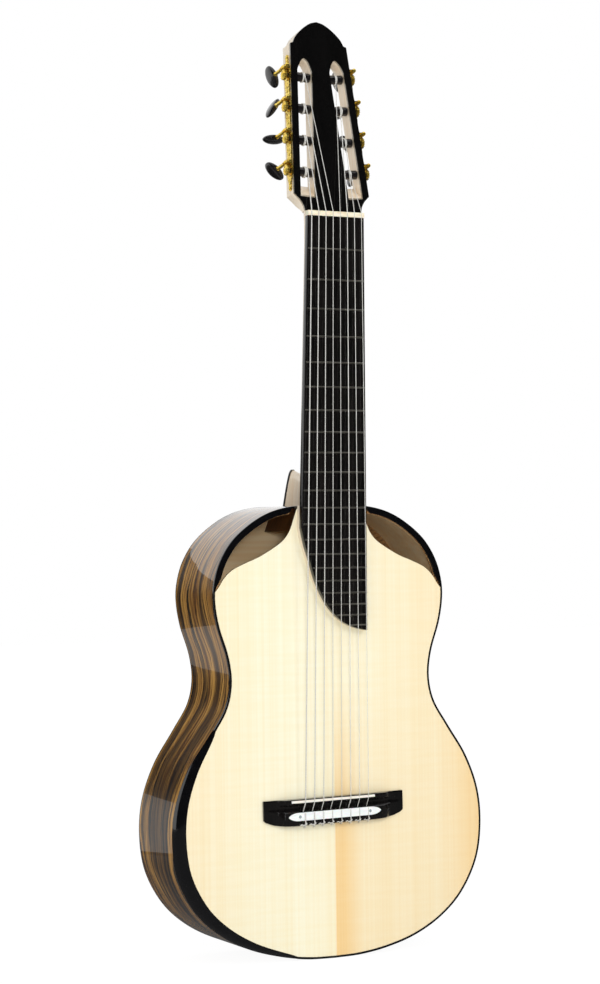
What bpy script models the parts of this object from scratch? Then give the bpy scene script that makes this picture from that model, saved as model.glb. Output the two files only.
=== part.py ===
"""Eight-string classical guitar with a raised fingerboard and two sound ports.

Metres, +Z up along the neck, the soundboard facing -Y and the bass strings on the -X side.
The origin lies on the centre line, level with the soundboard, at the nut's front face.
"""
import math

import bmesh
import bpy
from mathutils import Matrix, Vector

# Gaps
GAP = 0.0003
SHAFT_CLEARANCE = 0.00008
ROUND_SIDES = 12
SMALL_SIDES = 8

# Strings, from the highest to the lowest
SCALE_LENGTH = 0.650
STRING_DIAMETERS = (0.00072, 0.00082, 0.00102, 0.00076, 0.00090, 0.00105, 0.00115, 0.00132)
NUT_STRING_SPREAD = 0.0625
SADDLE_STRING_SPREAD = 0.0795
STRING_OVER_FRET = 0.0004
WINDING_TURNS = 1.5
WINDING_STEPS = 14
WINDING_SPACE = 0.00055
WINDING_INSET = 0.0105

# Body
BODY_LENGTH = 0.5065
UPPER_BOUT = 0.289
WAIST = 0.251
LOWER_BOUT = 0.383
JOIN_ABOVE_FRET = 0.003
DEPTH_AT_NECK = 0.103
DEPTH_AT_TAIL = 0.107
TOP_THICKNESS = 0.0025
BACK_THICKNESS = 0.0025
BACK_DOME = 0.005
DOME_ROWS = (1.0, 0.55)
SIDE_THICKNESS = 0.0022
BINDING_WIDTH = 0.0025
PORT_RIM_WIDTH = 0.0075
PORT_FOOT_DROP = 0.094
RIM_RUN_OUT = 0.018
RIM_BESIDE_BOARD = 0.006
LINING_WIDTH = 0.006
LINING_DEPTH = 0.012
ARMREST_SWELL = 0.65
ARMREST_WIDTH = 0.0125
BLOCK_HALF_WIDTH = 0.033
NECK_BLOCK_LENGTH = 0.026
TAIL_BLOCK_LENGTH = 0.016
OUTLINE_STEPS = 64

# Neck and fingerboard
NUT_WIDTH = 0.0705
BOARD_WIDTH_AT_JOIN = 0.081
BOARD_THICKNESS = 0.0065
BOARD_HEIGHT_AT_JOIN = 0.0137
NECK_SLOPE = 0.034
FRET_COUNT = 21
BOARD_BELOW_LAST_FRET = 0.0062
FRET_WIDTH = 0.0021
FRET_HEIGHT = 0.0010
NUT_THICKNESS = 0.0055
NUT_HEIGHT = 0.0021
NECK_DEPTH = 0.0150
HEEL_LENGTH = 0.038
HEEL_SWEEP = 0.030
HEEL_TIP_HALF_WIDTH = 0.0075
HEEL_CAP_THICKNESS = 0.0025

# Head
HEAD_TILT = math.radians(9.5)
HEAD_DROP = 0.0045
HEAD_LENGTH = 0.2295
HEAD_SHOULDER_HALF_WIDTH = 0.047
HEAD_CORNER_HALF_WIDTH = 0.0355
HEAD_SHOULDER_HEIGHT = 0.026
HEAD_CORNER_HEIGHT = 0.202
HEAD_START = 0.0065
HEAD_WOOD = 0.0175
VENEER = 0.0020
SLOT_WALL = 0.0080
SLOT_WIDTH = 0.0185
SLOT_BOTTOM = 0.0225
SLOT_RAMP = 0.0190
SLOT_SPRING = 0.1720
SLOT_ARCH = 0.0145

# Tuning machines
ROLLER_COUNT = 4
FIRST_ROLLER = 0.0542
ROLLER_PITCH = 0.0374
ROLLER_DEPTH = 0.0080
BARREL_RADIUS = 0.0052
ROLLER_SHAFT_RADIUS = 0.0032
ROLLER_TIP_RADIUS = 0.0024
ROLLER_TIP_LENGTH = 0.0050
GEAR_TEETH = 14
GEAR_PITCH_RADIUS = 0.0058
GEAR_ADDENDUM = 0.0006
GEAR_DEDENDUM = 0.0008
GEAR_FACE = 0.0030
GEAR_STANDOFF = 0.0038
WORM_PITCH_RADIUS = 0.0026
THREAD_TURNS = 2.1
PLATE_THICKNESS = 0.0013
PLATE_HALF_WIDTH = 0.0068
PLATE_END = 0.0240
LUG_HALF_WIDTH = 0.0026
LUG_THICKNESS = 0.0024
JOURNAL_RADIUS = 0.0016
WORM_SHAFT_LENGTH = 0.0300
BUTTON_LENGTH = 0.0170
BUTTON_WIDTH = 0.0260
BUTTON_THICKNESS = 0.0078
WORM_CORE_DEPTH = 0.0008
THREAD_HEIGHT = 0.0005
THREAD_BASE = 0.0006
LUG_CLEARANCE = 0.0004
BUTTON_TURNS = (-50.0, 90.0, 30.0, -25.0, 20.0, -40.0, 65.0, -15.0)

# Bridge
BRIDGE_SLANT = math.radians(1.0)
BRIDGE_LENGTH = 0.175
BRIDGE_BLOCK_LENGTH = 0.122
BRIDGE_FRONT = 0.0028
BRIDGE_WING_HEIGHT = 0.0032
SADDLE_RIDGE_HEIGHT = 0.0078
CHANNEL_HEIGHT = 0.0026
TIE_BLOCK_HEIGHT = 0.0078
TIE_BLOCK_START = 0.0115
TIE_BLOCK_LENGTH = 0.0155
TIE_HOLE_HEIGHT = 0.0044
TIE_HOLE_RADIUS = 0.0012
TIE_PLATE_LENGTH = 0.116
TIE_PLATE_MIDDLE = 0.0166
TIE_PLATE_SHIFT = -0.0018
TIE_PLATE_WIDTH = 0.0092
TIE_PLATE_THICKNESS = 0.0010
SADDLE_LENGTH = 0.104
SADDLE_SHIFT = -0.0036
SADDLE_THICKNESS = 0.0027
SADDLE_HEIGHT = 0.0104
SADDLE_SEAT = 0.0042

# Bracing
STRUT_WIDTH = 0.0050
STRUT_HEIGHT = 0.0040
BAR_WIDTH = 0.0065
BAR_HEIGHT = 0.0140
BAR_BELOW_JOIN = 0.113
BACK_BARS_BELOW_JOIN = (0.135, 0.265, 0.390)
BACK_STRIP_WIDTH = 0.0090
BACK_STRIP_HEIGHT = 0.0030
LINING_SLANT = 1.2
FAN_ABOVE_SADDLE = 0.115
FAN_BELOW_SADDLE = 0.105
FAN_SPACING_ABOVE = 0.022
FAN_SPACING_BELOW = 0.044
PATCH_HALF_WIDTH = 0.070
PATCH_LENGTH = 0.026
PATCH_THICKNESS = 0.0018

FRET_12 = -SCALE_LENGTH / 2
JOIN = FRET_12 + JOIN_ABOVE_FRET
TAIL = JOIN - BODY_LENGTH
SADDLE = -SCALE_LENGTH

MAPLE = ((0.80, 0.62, 0.40), 0.35, 0.0)
SPRUCE = ((0.93, 0.80, 0.55), 0.30, 0.0)
CEDAR = ((0.72, 0.52, 0.31), 0.60, 0.0)
ROSEWOOD = ((0.10, 0.045, 0.022), 0.18, 0.0)
EBONY = ((0.010, 0.009, 0.009), 0.22, 0.0)
BONE = ((0.86, 0.82, 0.70), 0.35, 0.0)
WHITE_PLATE = ((0.86, 0.88, 0.88), 0.30, 0.0)
GOLD = ((0.86, 0.62, 0.20), 0.22, 1.0)
NYLON = ((0.88, 0.86, 0.80), 0.30, 0.0)
BLACK_BUTTON = ((0.012, 0.012, 0.013), 0.25, 0.0)


def clear_scene():
    for old in list(bpy.data.objects):
        bpy.data.objects.remove(old, do_unlink=True)


def material_for(name, finish):
    colour, roughness, metallic = finish
    material = bpy.data.materials.new(name)
    material.use_nodes = True
    shader = material.node_tree.nodes["Principled BSDF"]
    shader.inputs["Base Color"].default_value = (*colour, 1.0)
    shader.inputs["Roughness"].default_value = roughness
    shader.inputs["Metallic"].default_value = metallic
    return material


def add_piece(name, mesh, finish, smooth_angle=35.0, matrix=None):
    mesh.shade_smooth()
    mesh.set_sharp_from_angle(angle=math.radians(smooth_angle))
    mesh.materials.clear()
    mesh.materials.append(material_for(name, finish))
    piece = bpy.data.objects.new(name, mesh)
    bpy.context.collection.objects.link(piece)
    if matrix is not None:
        piece.matrix_world = matrix
    return piece


def loft(name, rings, wrap=False):
    """A closed mesh through rings of equal length, capped at both ends unless it wraps round."""
    shell = bmesh.new()
    rows = [[shell.verts.new(point) for point in ring] for ring in rings]
    pairs = list(zip(rows, rows[1:]))
    if wrap:
        pairs.append((rows[-1], rows[0]))
    count = len(rows[0])
    for row, following in pairs:
        for i in range(count):
            j = (i + 1) % count
            shell.faces.new((row[i], row[j], following[j], following[i]))
    if not wrap:
        shell.faces.new(rows[0])
        shell.faces.new(rows[-1])
    return finish_mesh(name, shell)


def finish_mesh(name, shell):
    bmesh.ops.recalc_face_normals(shell, faces=shell.faces)
    mesh = bpy.data.meshes.new(name)
    shell.to_mesh(mesh)
    shell.free()
    return mesh


def prism(name, plan, near, far):
    """Extrudes plan points (x, z) from depth near to depth far, each a number or a function of z."""
    def depth(level, z):
        return level(z) if callable(level) else level
    front = [Vector((x, depth(near, z), z)) for x, z in plan]
    back = [Vector((x, depth(far, z), z)) for x, z in plan]
    return loft(name, [front, back])


def turned(name, profile, sides, axis):
    """Turns (distance along the axis, radius) pairs round X or Y; end radii of zero close to a point."""
    shell = bmesh.new()
    rows = []
    for along, radius in profile:
        if radius == 0.0:
            rows.append([shell.verts.new(axis_point(axis, along, 0.0, 0.0))])
            continue
        angles = [2 * math.pi * i / sides for i in range(sides)]
        rows.append([shell.verts.new(axis_point(axis, along, radius, angle)) for angle in angles])
    for row, following in zip(rows, rows[1:]):
        for i in range(sides):
            j = (i + 1) % sides
            corners = [row[i % len(row)], row[j % len(row)],
                       following[j % len(following)], following[i % len(following)]]
            shell.faces.new(list(dict.fromkeys(corners)))
    for row in (rows[0], rows[-1]):
        if len(row) > 1:
            shell.faces.new(row)
    return finish_mesh(name, shell)


def axis_point(axis, along, radius, angle):
    across, up = radius * math.sin(angle), radius * math.cos(angle)
    if axis == "X":
        return Vector((along, across, up))
    return Vector((across, along, up))


def joined(name, meshes):
    """Puts several closed shells in one mesh, for use as a cutter."""
    shell = bmesh.new()
    for mesh in meshes:
        shell.from_mesh(mesh)
    return finish_mesh(name, shell)


def boolean(piece, tool_mesh, operation):
    tool = bpy.data.objects.new(piece.name + "_" + operation.lower(), tool_mesh)
    bpy.context.collection.objects.link(tool)
    tool.matrix_world = piece.matrix_world
    tool.hide_render = True
    tool.display_type = "WIRE"
    modifier = piece.modifiers.new(operation.title(), "BOOLEAN")
    modifier.operation = operation
    modifier.solver = "EXACT"
    modifier.object = tool
    return tool


def union_mesh(name, meshes):
    """The solid union of several shells as one mesh."""
    base = bpy.data.objects.new(name, meshes[0])
    bpy.context.collection.objects.link(base)
    tools = [boolean(base, mesh, "UNION") for mesh in meshes[1:]]
    bpy.context.view_layer.update()
    seen = base.evaluated_get(bpy.context.evaluated_depsgraph_get())
    result = bpy.data.meshes.new_from_object(seen)
    for old in tools + [base]:
        bpy.data.objects.remove(old, do_unlink=True)
    return result


def smooth_through(points, steps_between):
    """Points on a smooth open curve (centripetal Catmull-Rom) through the given ones."""
    spread = [points[0] * 2 - points[1]] + points + [points[-1] * 2 - points[-2]]
    curve = []
    for p0, p1, p2, p3 in zip(spread, spread[1:], spread[2:], spread[3:]):
        t1 = math.sqrt((p1 - p0).length)
        t2 = t1 + math.sqrt((p2 - p1).length)
        t3 = t2 + math.sqrt((p3 - p2).length)
        for i in range(steps_between):
            t = t1 + (t2 - t1) * i / steps_between
            a1 = p0.lerp(p1, t / t1)
            a2 = p1.lerp(p2, (t - t1) / (t2 - t1))
            a3 = p2.lerp(p3, (t - t2) / (t3 - t2))
            b1 = a1.lerp(a2, t / t2)
            b2 = a2.lerp(a3, (t - t1) / (t3 - t1))
            curve.append(b1.lerp(b2, (t - t1) / (t2 - t1)))
    curve.append(points[-1].copy())
    return curve


def evenly(curve, count):
    """The curve again with count equal steps."""
    lengths = [0.0]
    for a, b in zip(curve, curve[1:]):
        lengths.append(lengths[-1] + (b - a).length)
    result = []
    k = 0
    for i in range(count + 1):
        target = lengths[-1] * i / count
        while k < len(curve) - 2 and lengths[k + 1] < target:
            k += 1
        span = lengths[k + 1] - lengths[k]
        result.append(curve[k].lerp(curve[k + 1], (target - lengths[k]) / span))
    return result


def body_half_outline():
    """Half of the body's outline, from the neck joint round the treble side to the tail."""
    upper, waist, lower = UPPER_BOUT / 2, WAIST / 2, LOWER_BOUT / 2
    shares = [
        (upper, 0.0, 0.0), (upper, 0.21, 0.0), (upper, 0.36, 0.003), (upper, 0.53, 0.016),
        (upper, 0.69, 0.041), (upper, 0.845, 0.079), (upper, 0.948, 0.126), (upper, 0.995, 0.174),
        (upper, 1.0, 0.209), (upper, 0.97, 0.261), (waist, 1.025, 0.332), (waist, 1.0, 0.385),
        (waist, 1.044, 0.438), (lower, 0.778, 0.496), (lower, 0.903, 0.569), (lower, 0.982, 0.648),
        (lower, 1.0, 0.727), (lower, 0.966, 0.806), (lower, 0.856, 0.881), (lower, 0.715, 0.930),
        (lower, 0.538, 0.966), (lower, 0.339, 0.988), (lower, 0.157, 0.998), (lower, 0.0, 1.0)]
    points = [Vector((half * share, JOIN - BODY_LENGTH * down)) for half, share, down in shares]
    return evenly(smooth_through(points, 8), OUTLINE_STEPS // 2)


def body_outline():
    """Outline points with their inward normals, once round from the neck joint, treble side first."""
    half = body_half_outline()
    points = half + [Vector((-p.x, p.y)) for p in half[-2:0:-1]]
    count = len(points)
    result = []
    for i, point in enumerate(points):
        along = (points[(i + 1) % count] - points[i - 1]).normalized()
        result.append((point, Vector((along.y, -along.x))))
    return result


OUTLINE = body_outline()
HALF = OUTLINE_STEPS // 2


def inset(i, distance):
    point, inward = OUTLINE[i % OUTLINE_STEPS]
    moved = point + inward * distance
    return moved.x, moved.y


def back_level(z):
    """Depth of the back's edge below the soundboard's plane."""
    return DEPTH_AT_NECK + (DEPTH_AT_TAIL - DEPTH_AT_NECK) * (JOIN - z) / BODY_LENGTH


def armrest_share(i):
    """How much of its full size the armrest has at an outline step, from 0 to 1."""
    first, last = ARMREST_STEPS
    if i <= first or i >= last:
        return 0.0
    return math.sin(math.pi * (i - first) / (last - first)) ** ARMREST_SWELL


def find_armrest_steps():
    """The armrest runs on the bass side from just below the tail's middle up to the waist's end."""
    bass = range(HALF, OUTLINE_STEPS)
    near_tail = bass[:OUTLINE_STEPS // 8]
    first = min(near_tail, key=lambda i: abs(OUTLINE[i][0].x + 0.23 * LOWER_BOUT / 2))
    last = min(bass, key=lambda i: abs(OUTLINE[i][0].y - (JOIN - 0.490 * BODY_LENGTH)))
    return first, last


ARMREST_STEPS = find_armrest_steps()


def edge_width(i):
    """Width of the bevel or binding seen from the front."""
    return BINDING_WIDTH + (ARMREST_WIDTH - BINDING_WIDTH) * armrest_share(i)


def edge_depth(i):
    """How far the bevel or binding reaches down the side."""
    return TOP_THICKNESS + (ARMREST_WIDTH - TOP_THICKNESS) * armrest_share(i)


def port_foot():
    return JOIN - PORT_FOOT_DROP


def board_level(z):
    """Depth of the fingerboard's top, which leans forward towards the head."""
    return -(BOARD_HEIGHT_AT_JOIN + NECK_SLOPE * (z - FRET_12))


def board_under(z):
    return board_level(z) + BOARD_THICKNESS


def board_half_width(z):
    return (NUT_WIDTH + (BOARD_WIDTH_AT_JOIN - NUT_WIDTH) * z / FRET_12) / 2


def board_end_curve():
    """The fingerboard's cut end, from its bass edge to its treble edge."""
    shares = [(-1.0, 0.160), (-0.90, 0.290), (-0.76, 0.413), (-0.57, 0.587), (-0.41, 0.688),
              (-0.22, 0.783), (0.03, 0.870), (0.35, 0.942), (0.70, 0.982), (1.0, 1.0)]
    end = fret_z(FRET_COUNT) - BOARD_BELOW_LAST_FRET
    half = board_half_width((FRET_12 + end) / 2)
    return [Vector((half * across, FRET_12 + (end - FRET_12) * down)) for across, down in shares]


def board_cut_x(z):
    """Where the cut end crosses a height; above the cut this is the bass edge."""
    curve = board_end_curve()
    for a, b in zip(curve, curve[1:]):
        if b.y <= z <= a.y:
            return a.lerp(b, (z - a.y) / (b.y - a.y)).x
    return -board_half_width(z)


def fret_z(n):
    return -SCALE_LENGTH * (1 - 2 ** (-n / 12))


def head_frame():
    """The head's own frame: origin on its face at the nut, Z up the face and Y into the head."""
    place = Matrix.Translation((0.0, board_level(0.0) + HEAD_DROP, 0.0))
    return place @ Matrix.Rotation(-HEAD_TILT, 4, "X")


HEAD = head_frame()
SIDE_LEAN = math.atan((HEAD_SHOULDER_HALF_WIDTH - HEAD_CORNER_HALF_WIDTH)
                      / (HEAD_CORNER_HEIGHT - HEAD_SHOULDER_HEIGHT))


def side_frame(side):
    """Frame on one flank of the head: Z up the flank, X square to it; side is 1 treble, -1 bass."""
    corner = Matrix.Translation((side * HEAD_SHOULDER_HALF_WIDTH, 0.0, HEAD_SHOULDER_HEIGHT))
    return HEAD @ corner @ Matrix.Rotation(-side * SIDE_LEAN, 4, "Y")


def roller_height(k):
    """Height of roller k in the flank's frame."""
    return FIRST_ROLLER - HEAD_SHOULDER_HEIGHT + k * ROLLER_PITCH


def string_x(number, spread):
    last = len(STRING_DIAMETERS) - 1
    return spread / 2 - spread * number / last


def string_level(number):
    """Depth of a string's middle at the nut, where it just clears the frets."""
    return board_level(0.0) - FRET_HEIGHT - STRING_OVER_FRET - STRING_DIAMETERS[number] / 2


def shortened(rings):
    """The rings with the end ones drawn in, so that the strip stays clear of its neighbours."""
    first = [a + (b - a).normalized() * GAP / 2 for a, b in zip(rings[0], rings[1])]
    last = [a + (b - a).normalized() * GAP / 2 for a, b in zip(rings[-1], rings[-2])]
    return [first] + rings[1:-1] + [last]


def add_strip(name, steps, section, finish, smooth_angle=35.0):
    """A strip along the outline; section(i) gives its cross-section as (inset, depth) pairs."""
    rings = []
    for i in steps:
        ring = []
        for distance, depth in section(i):
            x, z = inset(i, distance)
            ring.append(Vector((x, depth, z)))
        rings.append(ring)
    wrap = len(steps) == OUTLINE_STEPS
    if not wrap:
        rings = shortened(rings)
    add_piece(name, loft(name, rings, wrap), finish, smooth_angle)


def add_sides():
    def section(i):
        z = OUTLINE[i % OUTLINE_STEPS][0].y
        top = edge_depth(i) + GAP
        bottom = back_level(z) - BACK_THICKNESS - GAP
        return ((0.0, top), (SIDE_THICKNESS, top), (SIDE_THICKNESS, bottom), (0.0, bottom))
    halves = {"side_treble": range(0, HALF + 1), "side_bass": range(HALF, OUTLINE_STEPS + 1)}
    for name, steps in halves.items():
        add_strip(name, list(steps), section, ROSEWOOD)


def add_linings():
    outer = SIDE_THICKNESS + GAP
    block = BLOCK_HALF_WIDTH + 2 * GAP + LINING_WIDTH / 4

    def front(i):
        top = edge_depth(i) + GAP
        reach = outer + LINING_WIDTH
        return ((outer, top), (reach, top + armrest_share(i) * GAP), (outer, top + LINING_DEPTH))

    def back(i):
        bottom = back_level(OUTLINE[i % OUTLINE_STEPS][0].y) - BACK_THICKNESS - GAP
        return ((outer, bottom), (outer + LINING_WIDTH, bottom), (outer, bottom - LINING_DEPTH))

    clear = [i for i in range(OUTLINE_STEPS) if abs(inset(i, outer)[0]) > block]
    halves = {"treble": [i for i in clear if i < HALF], "bass": [i for i in clear if i > HALF]}
    for name, steps in halves.items():
        add_strip("lining_front_" + name, steps, front, CEDAR)
        add_strip("lining_back_" + name, steps, back, CEDAR)


def front_binding_steps():
    """From the armrest's upper end over the neck joint and the treble side to its lower end."""
    first, last = ARMREST_STEPS
    return list(range(last, OUTLINE_STEPS + first + 1))


def rim_width(i):
    """The front binding widens to a rim along both sound ports."""
    place = OUTLINE[i % OUTLINE_STEPS][0]
    above_foot = (place.y - port_foot()) / RIM_RUN_OUT
    beside_board = (abs(place.x) - board_half_width(JOIN) - RIM_BESIDE_BOARD) / RIM_BESIDE_BOARD
    share = min(max(min(above_foot, beside_board), 0.0), 1.0)
    return BINDING_WIDTH + (PORT_RIM_WIDTH - BINDING_WIDTH) * share


def add_bindings():
    def front(i):
        width = rim_width(i)
        return ((0.0, 0.0), (width, 0.0), (width, TOP_THICKNESS), (0.0, TOP_THICKNESS))

    def back(i):
        z = OUTLINE[i % OUTLINE_STEPS][0].y
        level = back_level(z)
        return ((0.0, level - BACK_THICKNESS), (BINDING_WIDTH, level - BACK_THICKNESS),
                (BINDING_WIDTH, level), (0.0, level))

    add_strip("front_binding", front_binding_steps(), front, EBONY)
    add_strip("back_binding", list(range(OUTLINE_STEPS)), back, EBONY)


def add_armrest():
    """A polished bevel that takes the sharp edge off the bass side's lower bout."""
    def section(i):
        width, depth = edge_width(i), edge_depth(i)
        swell = 0.12 * armrest_share(i)
        middle = (width * (0.5 - swell), depth * (0.5 - swell))
        inner_depth = min(depth, TOP_THICKNESS)
        return ((width, 0.0), middle, (0.0, depth), (min(SIDE_THICKNESS, width), depth),
                (width, inner_depth))
    first, last = ARMREST_STEPS
    add_strip("armrest_bevel", list(range(first, last + 1)), section, EBONY, 50.0)


def port_edge():
    """The soundboard's scooped edge on the treble side, from the rim to the fingerboard."""
    shares = [(0.952, 0.952), (0.905, 0.846), (0.838, 0.755), (0.727, 0.676), (0.612, 0.606),
              (0.498, 0.511), (0.405, 0.415), (0.350, 0.309), (0.312, 0.160), (0.283, 0.037)]
    half = UPPER_BOUT / 2
    return [Vector((half * across, JOIN - PORT_FOOT_DROP * down)) for across, down in shares]


def add_soundboard():
    plan = []
    for i in range(OUTLINE_STEPS):
        if OUTLINE[i][0].y < port_foot() + 0.0005:
            width = edge_width(i) if armrest_share(i) > 0 else rim_width(i)
            plan.append(Vector(inset(i, width + GAP)))
    edge = smooth_through(port_edge(), 2)
    plan += [Vector((-p.x, p.y)) for p in edge]
    plan += list(reversed(edge))
    corners = [(p.x, p.y) for p in plan]
    add_piece("soundboard", prism("soundboard", corners, 0.0, TOP_THICKNESS), SPRUCE)


def dome(share):
    """The dome's height from its rim (share 1) to its middle (share 0), in straight stretches."""
    rows = DOME_ROWS + (0.0,)
    for outer, inner in zip(rows, rows[1:]):
        if share >= inner:
            part = (outer - share) / (outer - inner)
            return BACK_DOME * (1.0 - outer ** 2 + (outer ** 2 - inner ** 2) * part)
    return BACK_DOME


DOME_CENTRE = Vector((0.0, JOIN - 0.52 * BODY_LENGTH))


def dome_at(x, z):
    """Height of the back's dome at a place inside the outline."""
    place = Vector((x, z)) - DOME_CENTRE
    if place.length < 1e-6:
        return BACK_DOME
    nearest = max(range(OUTLINE_STEPS),
                  key=lambda i: (Vector(inset(i, BINDING_WIDTH)) - DOME_CENTRE).normalized().dot(
                      place.normalized()))
    edge = (Vector(inset(nearest, BINDING_WIDTH)) - DOME_CENTRE).length
    return dome(min(place.length / edge, 1.0))


def add_back():
    """The back's plate, gently domed outwards."""
    shell = bmesh.new()
    edge = [Vector(inset(i, BINDING_WIDTH + GAP)) for i in range(OUTLINE_STEPS)]

    def row(share, lift):
        made = []
        for point in edge:
            place = DOME_CENTRE.lerp(point, share)
            level = back_level(place.y) + dome(share) - lift
            made.append(shell.verts.new((place.x, level, place.y)))
        return made

    layers = []
    for lift in (0.0, BACK_THICKNESS):
        rows = [row(share, lift) for share in DOME_ROWS]
        centre_level = back_level(DOME_CENTRE.y) + BACK_DOME - lift
        centre = shell.verts.new((0.0, centre_level, DOME_CENTRE.y))
        layers.append(rows)
        for outer, inner in zip(rows, rows[1:]):
            for i in range(OUTLINE_STEPS):
                j = (i + 1) % OUTLINE_STEPS
                shell.faces.new((outer[i], outer[j], inner[j], inner[i]))
        for i in range(OUTLINE_STEPS):
            shell.faces.new((rows[-1][i], rows[-1][(i + 1) % OUTLINE_STEPS], centre))
    for i in range(OUTLINE_STEPS):
        j = (i + 1) % OUTLINE_STEPS
        shell.faces.new((layers[0][0][i], layers[0][0][j], layers[1][0][j], layers[1][0][i]))
    add_piece("back", finish_mesh("back", shell), ROSEWOOD)


def add_blocks():
    """The blocks that carry the neck and close the tail inside the body."""
    wall = SIDE_THICKNESS + GAP
    half = BLOCK_HALF_WIDTH

    def under_top(z):
        return TOP_THICKNESS + GAP

    def over_back(z):
        return back_level(z) - BACK_THICKNESS - GAP

    def block(name, steps, end_z, end_x):
        plan = [inset(i, wall) for i in steps] + [(end_x, end_z), (-end_x, end_z)]
        add_piece(name, prism(name, plan, under_top, over_back), CEDAR)

    near_neck = [i for i in range(-6, 7) if abs(OUTLINE[i % OUTLINE_STEPS][0].x) < half]
    near_tail = [i for i in range(HALF - 8, HALF + 9) if abs(OUTLINE[i][0].x) < half]
    block("neck_block", near_neck, JOIN - wall - NECK_BLOCK_LENGTH, half)
    block("tail_block", near_tail, TAIL + wall + TAIL_BLOCK_LENGTH, -half)


def add_neck():
    """The neck's shaft and heel as one loft from the body to the head."""
    top_of_heel = JOIN + HEEL_LENGTH
    steps = 9
    shares = [math.sin(math.pi / 2 * i / (steps - 1)) for i in range(steps)]
    stations = [JOIN + GAP, JOIN + 0.4 * HEEL_LENGTH, top_of_heel]
    stations += [top_of_heel + HEEL_SWEEP * q for q in (0.05, 0.12, 0.22, 0.36, 0.55, 0.78, 1.0)]
    stations += [stations[-1] / 2, -0.018, -0.006]

    def wood_top(z):
        return board_under(z) + GAP

    def ring_at(z, end=False):
        sweep = min(max((z - top_of_heel) / HEEL_SWEEP, 0.0), 1.0)
        heel_depth = back_level(JOIN) - HEEL_CAP_THICKNESS - GAP - wood_top(z)
        depth = NECK_DEPTH + (heel_depth - NECK_DEPTH) * (1.0 - sweep) ** 3
        heel_like = (1.0 - sweep) ** 2
        tip_share = min(max((top_of_heel - z) / HEEL_LENGTH, 0.0), 1.0)
        tip = HEEL_TIP_HALF_WIDTH * (0.12 + 0.88 * math.sqrt(tip_share)) if sweep < 1.0 else 0.0
        near_head = min(max((z + 0.030) / 0.030, 0.0), 1.0)
        depth += (HEAD_WOOD - NECK_DEPTH) * near_head * (1.0 - heel_like)
        half = board_half_width(min(z, 0.0)) - GAP
        right = []
        for share in shares:
            power = 2.0 + 4.0 * near_head
            round_x = half * max(1.0 - share ** power, 0.0) ** (1.0 / power)
            heel_x = tip + (half - tip) * (1.0 - share) ** 2.3
            x = max(round_x * (1.0 - heel_like) + heel_x * heel_like, 0.0009)
            right.append((x, share * depth))
        if end:
            frame_top = VENEER + GAP
            return ([HEAD @ Vector((x, frame_top + d, HEAD_START - GAP)) for x, d in right]
                    + [HEAD @ Vector((-x, frame_top + d, HEAD_START - GAP))
                       for x, d in reversed(right)])
        level = wood_top(z)
        return ([Vector((x, level + d, z)) for x, d in right]
                + [Vector((-x, level + d, z)) for x, d in reversed(right)])

    rings = [ring_at(z) for z in stations] + [ring_at(0.0, end=True)]
    add_piece("neck", loft("neck", rings), MAPLE, 40.0)

    def cap_level(z):
        return back_level(JOIN) - HEEL_CAP_THICKNESS
    tip = HEEL_TIP_HALF_WIDTH
    plan = [(tip, JOIN + GAP), (0.85 * tip, JOIN + 0.4 * HEEL_LENGTH),
            (0.45 * tip, JOIN + 0.80 * HEEL_LENGTH), (0.1 * tip, top_of_heel)]
    plan += [(-x, z) for x, z in reversed(plan)]
    add_piece("heel_cap", prism("heel_cap", plan, cap_level, back_level(JOIN)), EBONY)


def board_plan(top):
    """The fingerboard's outline from a height down to the cut end."""
    curve = board_end_curve()
    plan = [(board_half_width(top), top)]
    plan += [(p.x, p.y) for p in reversed(curve)]
    plan.append((-board_half_width(top), top))
    return plan


def add_fingerboard():
    board = prism("fingerboard", board_plan(-GAP), board_level, board_under)
    frets = []
    for n in range(1, FRET_COUNT + 1):
        z = fret_z(n)
        left = board_cut_x(z) + 0.0008
        right = board_half_width(z) - 0.0004
        base = board_level(z)
        rings = []
        for x in (left, right):
            shape = ((-FRET_WIDTH / 2, 0.0004), (-FRET_WIDTH / 4, -FRET_HEIGHT),
                     (FRET_WIDTH / 4, -FRET_HEIGHT), (FRET_WIDTH / 2, 0.0004))
            rings.append([Vector((x, base + rise, z + along)) for along, rise in shape])
        frets.append(loft("fret", rings))
    piece = add_piece("fingerboard", board, EBONY)
    boolean(piece, joined("frets", frets), "UNION")

    def riser_top(z):
        return board_under(z) + GAP
    wedge = prism("riser", board_plan(JOIN - GAP), riser_top, -GAP)
    add_piece("fingerboard_riser", wedge, MAPLE)


def add_nut():
    """The nut, with a slot for each string."""
    top = board_level(0.0) - NUT_HEIGHT
    bottom = board_under(NUT_THICKNESS) + GAP * 2
    half = NUT_WIDTH / 2
    plan = [(half, bottom), (half, top + 0.0004), (half - 0.0006, top)]
    for number, diameter in enumerate(STRING_DIAMETERS):
        x = string_x(number, NUT_STRING_SPREAD)
        reach = diameter / 2 + GAP
        floor = string_level(number) + reach
        plan += [(x + reach, top), (x + reach, floor), (x - reach, floor), (x - reach, top)]
    plan += [(-half + 0.0006, top), (-half, top + 0.0004), (-half, bottom)]
    ends = [[Vector((x, y, z)) for x, y in plan] for z in (0.0, NUT_THICKNESS)]
    add_piece("nut", loft("nut", ends), BONE)


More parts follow.
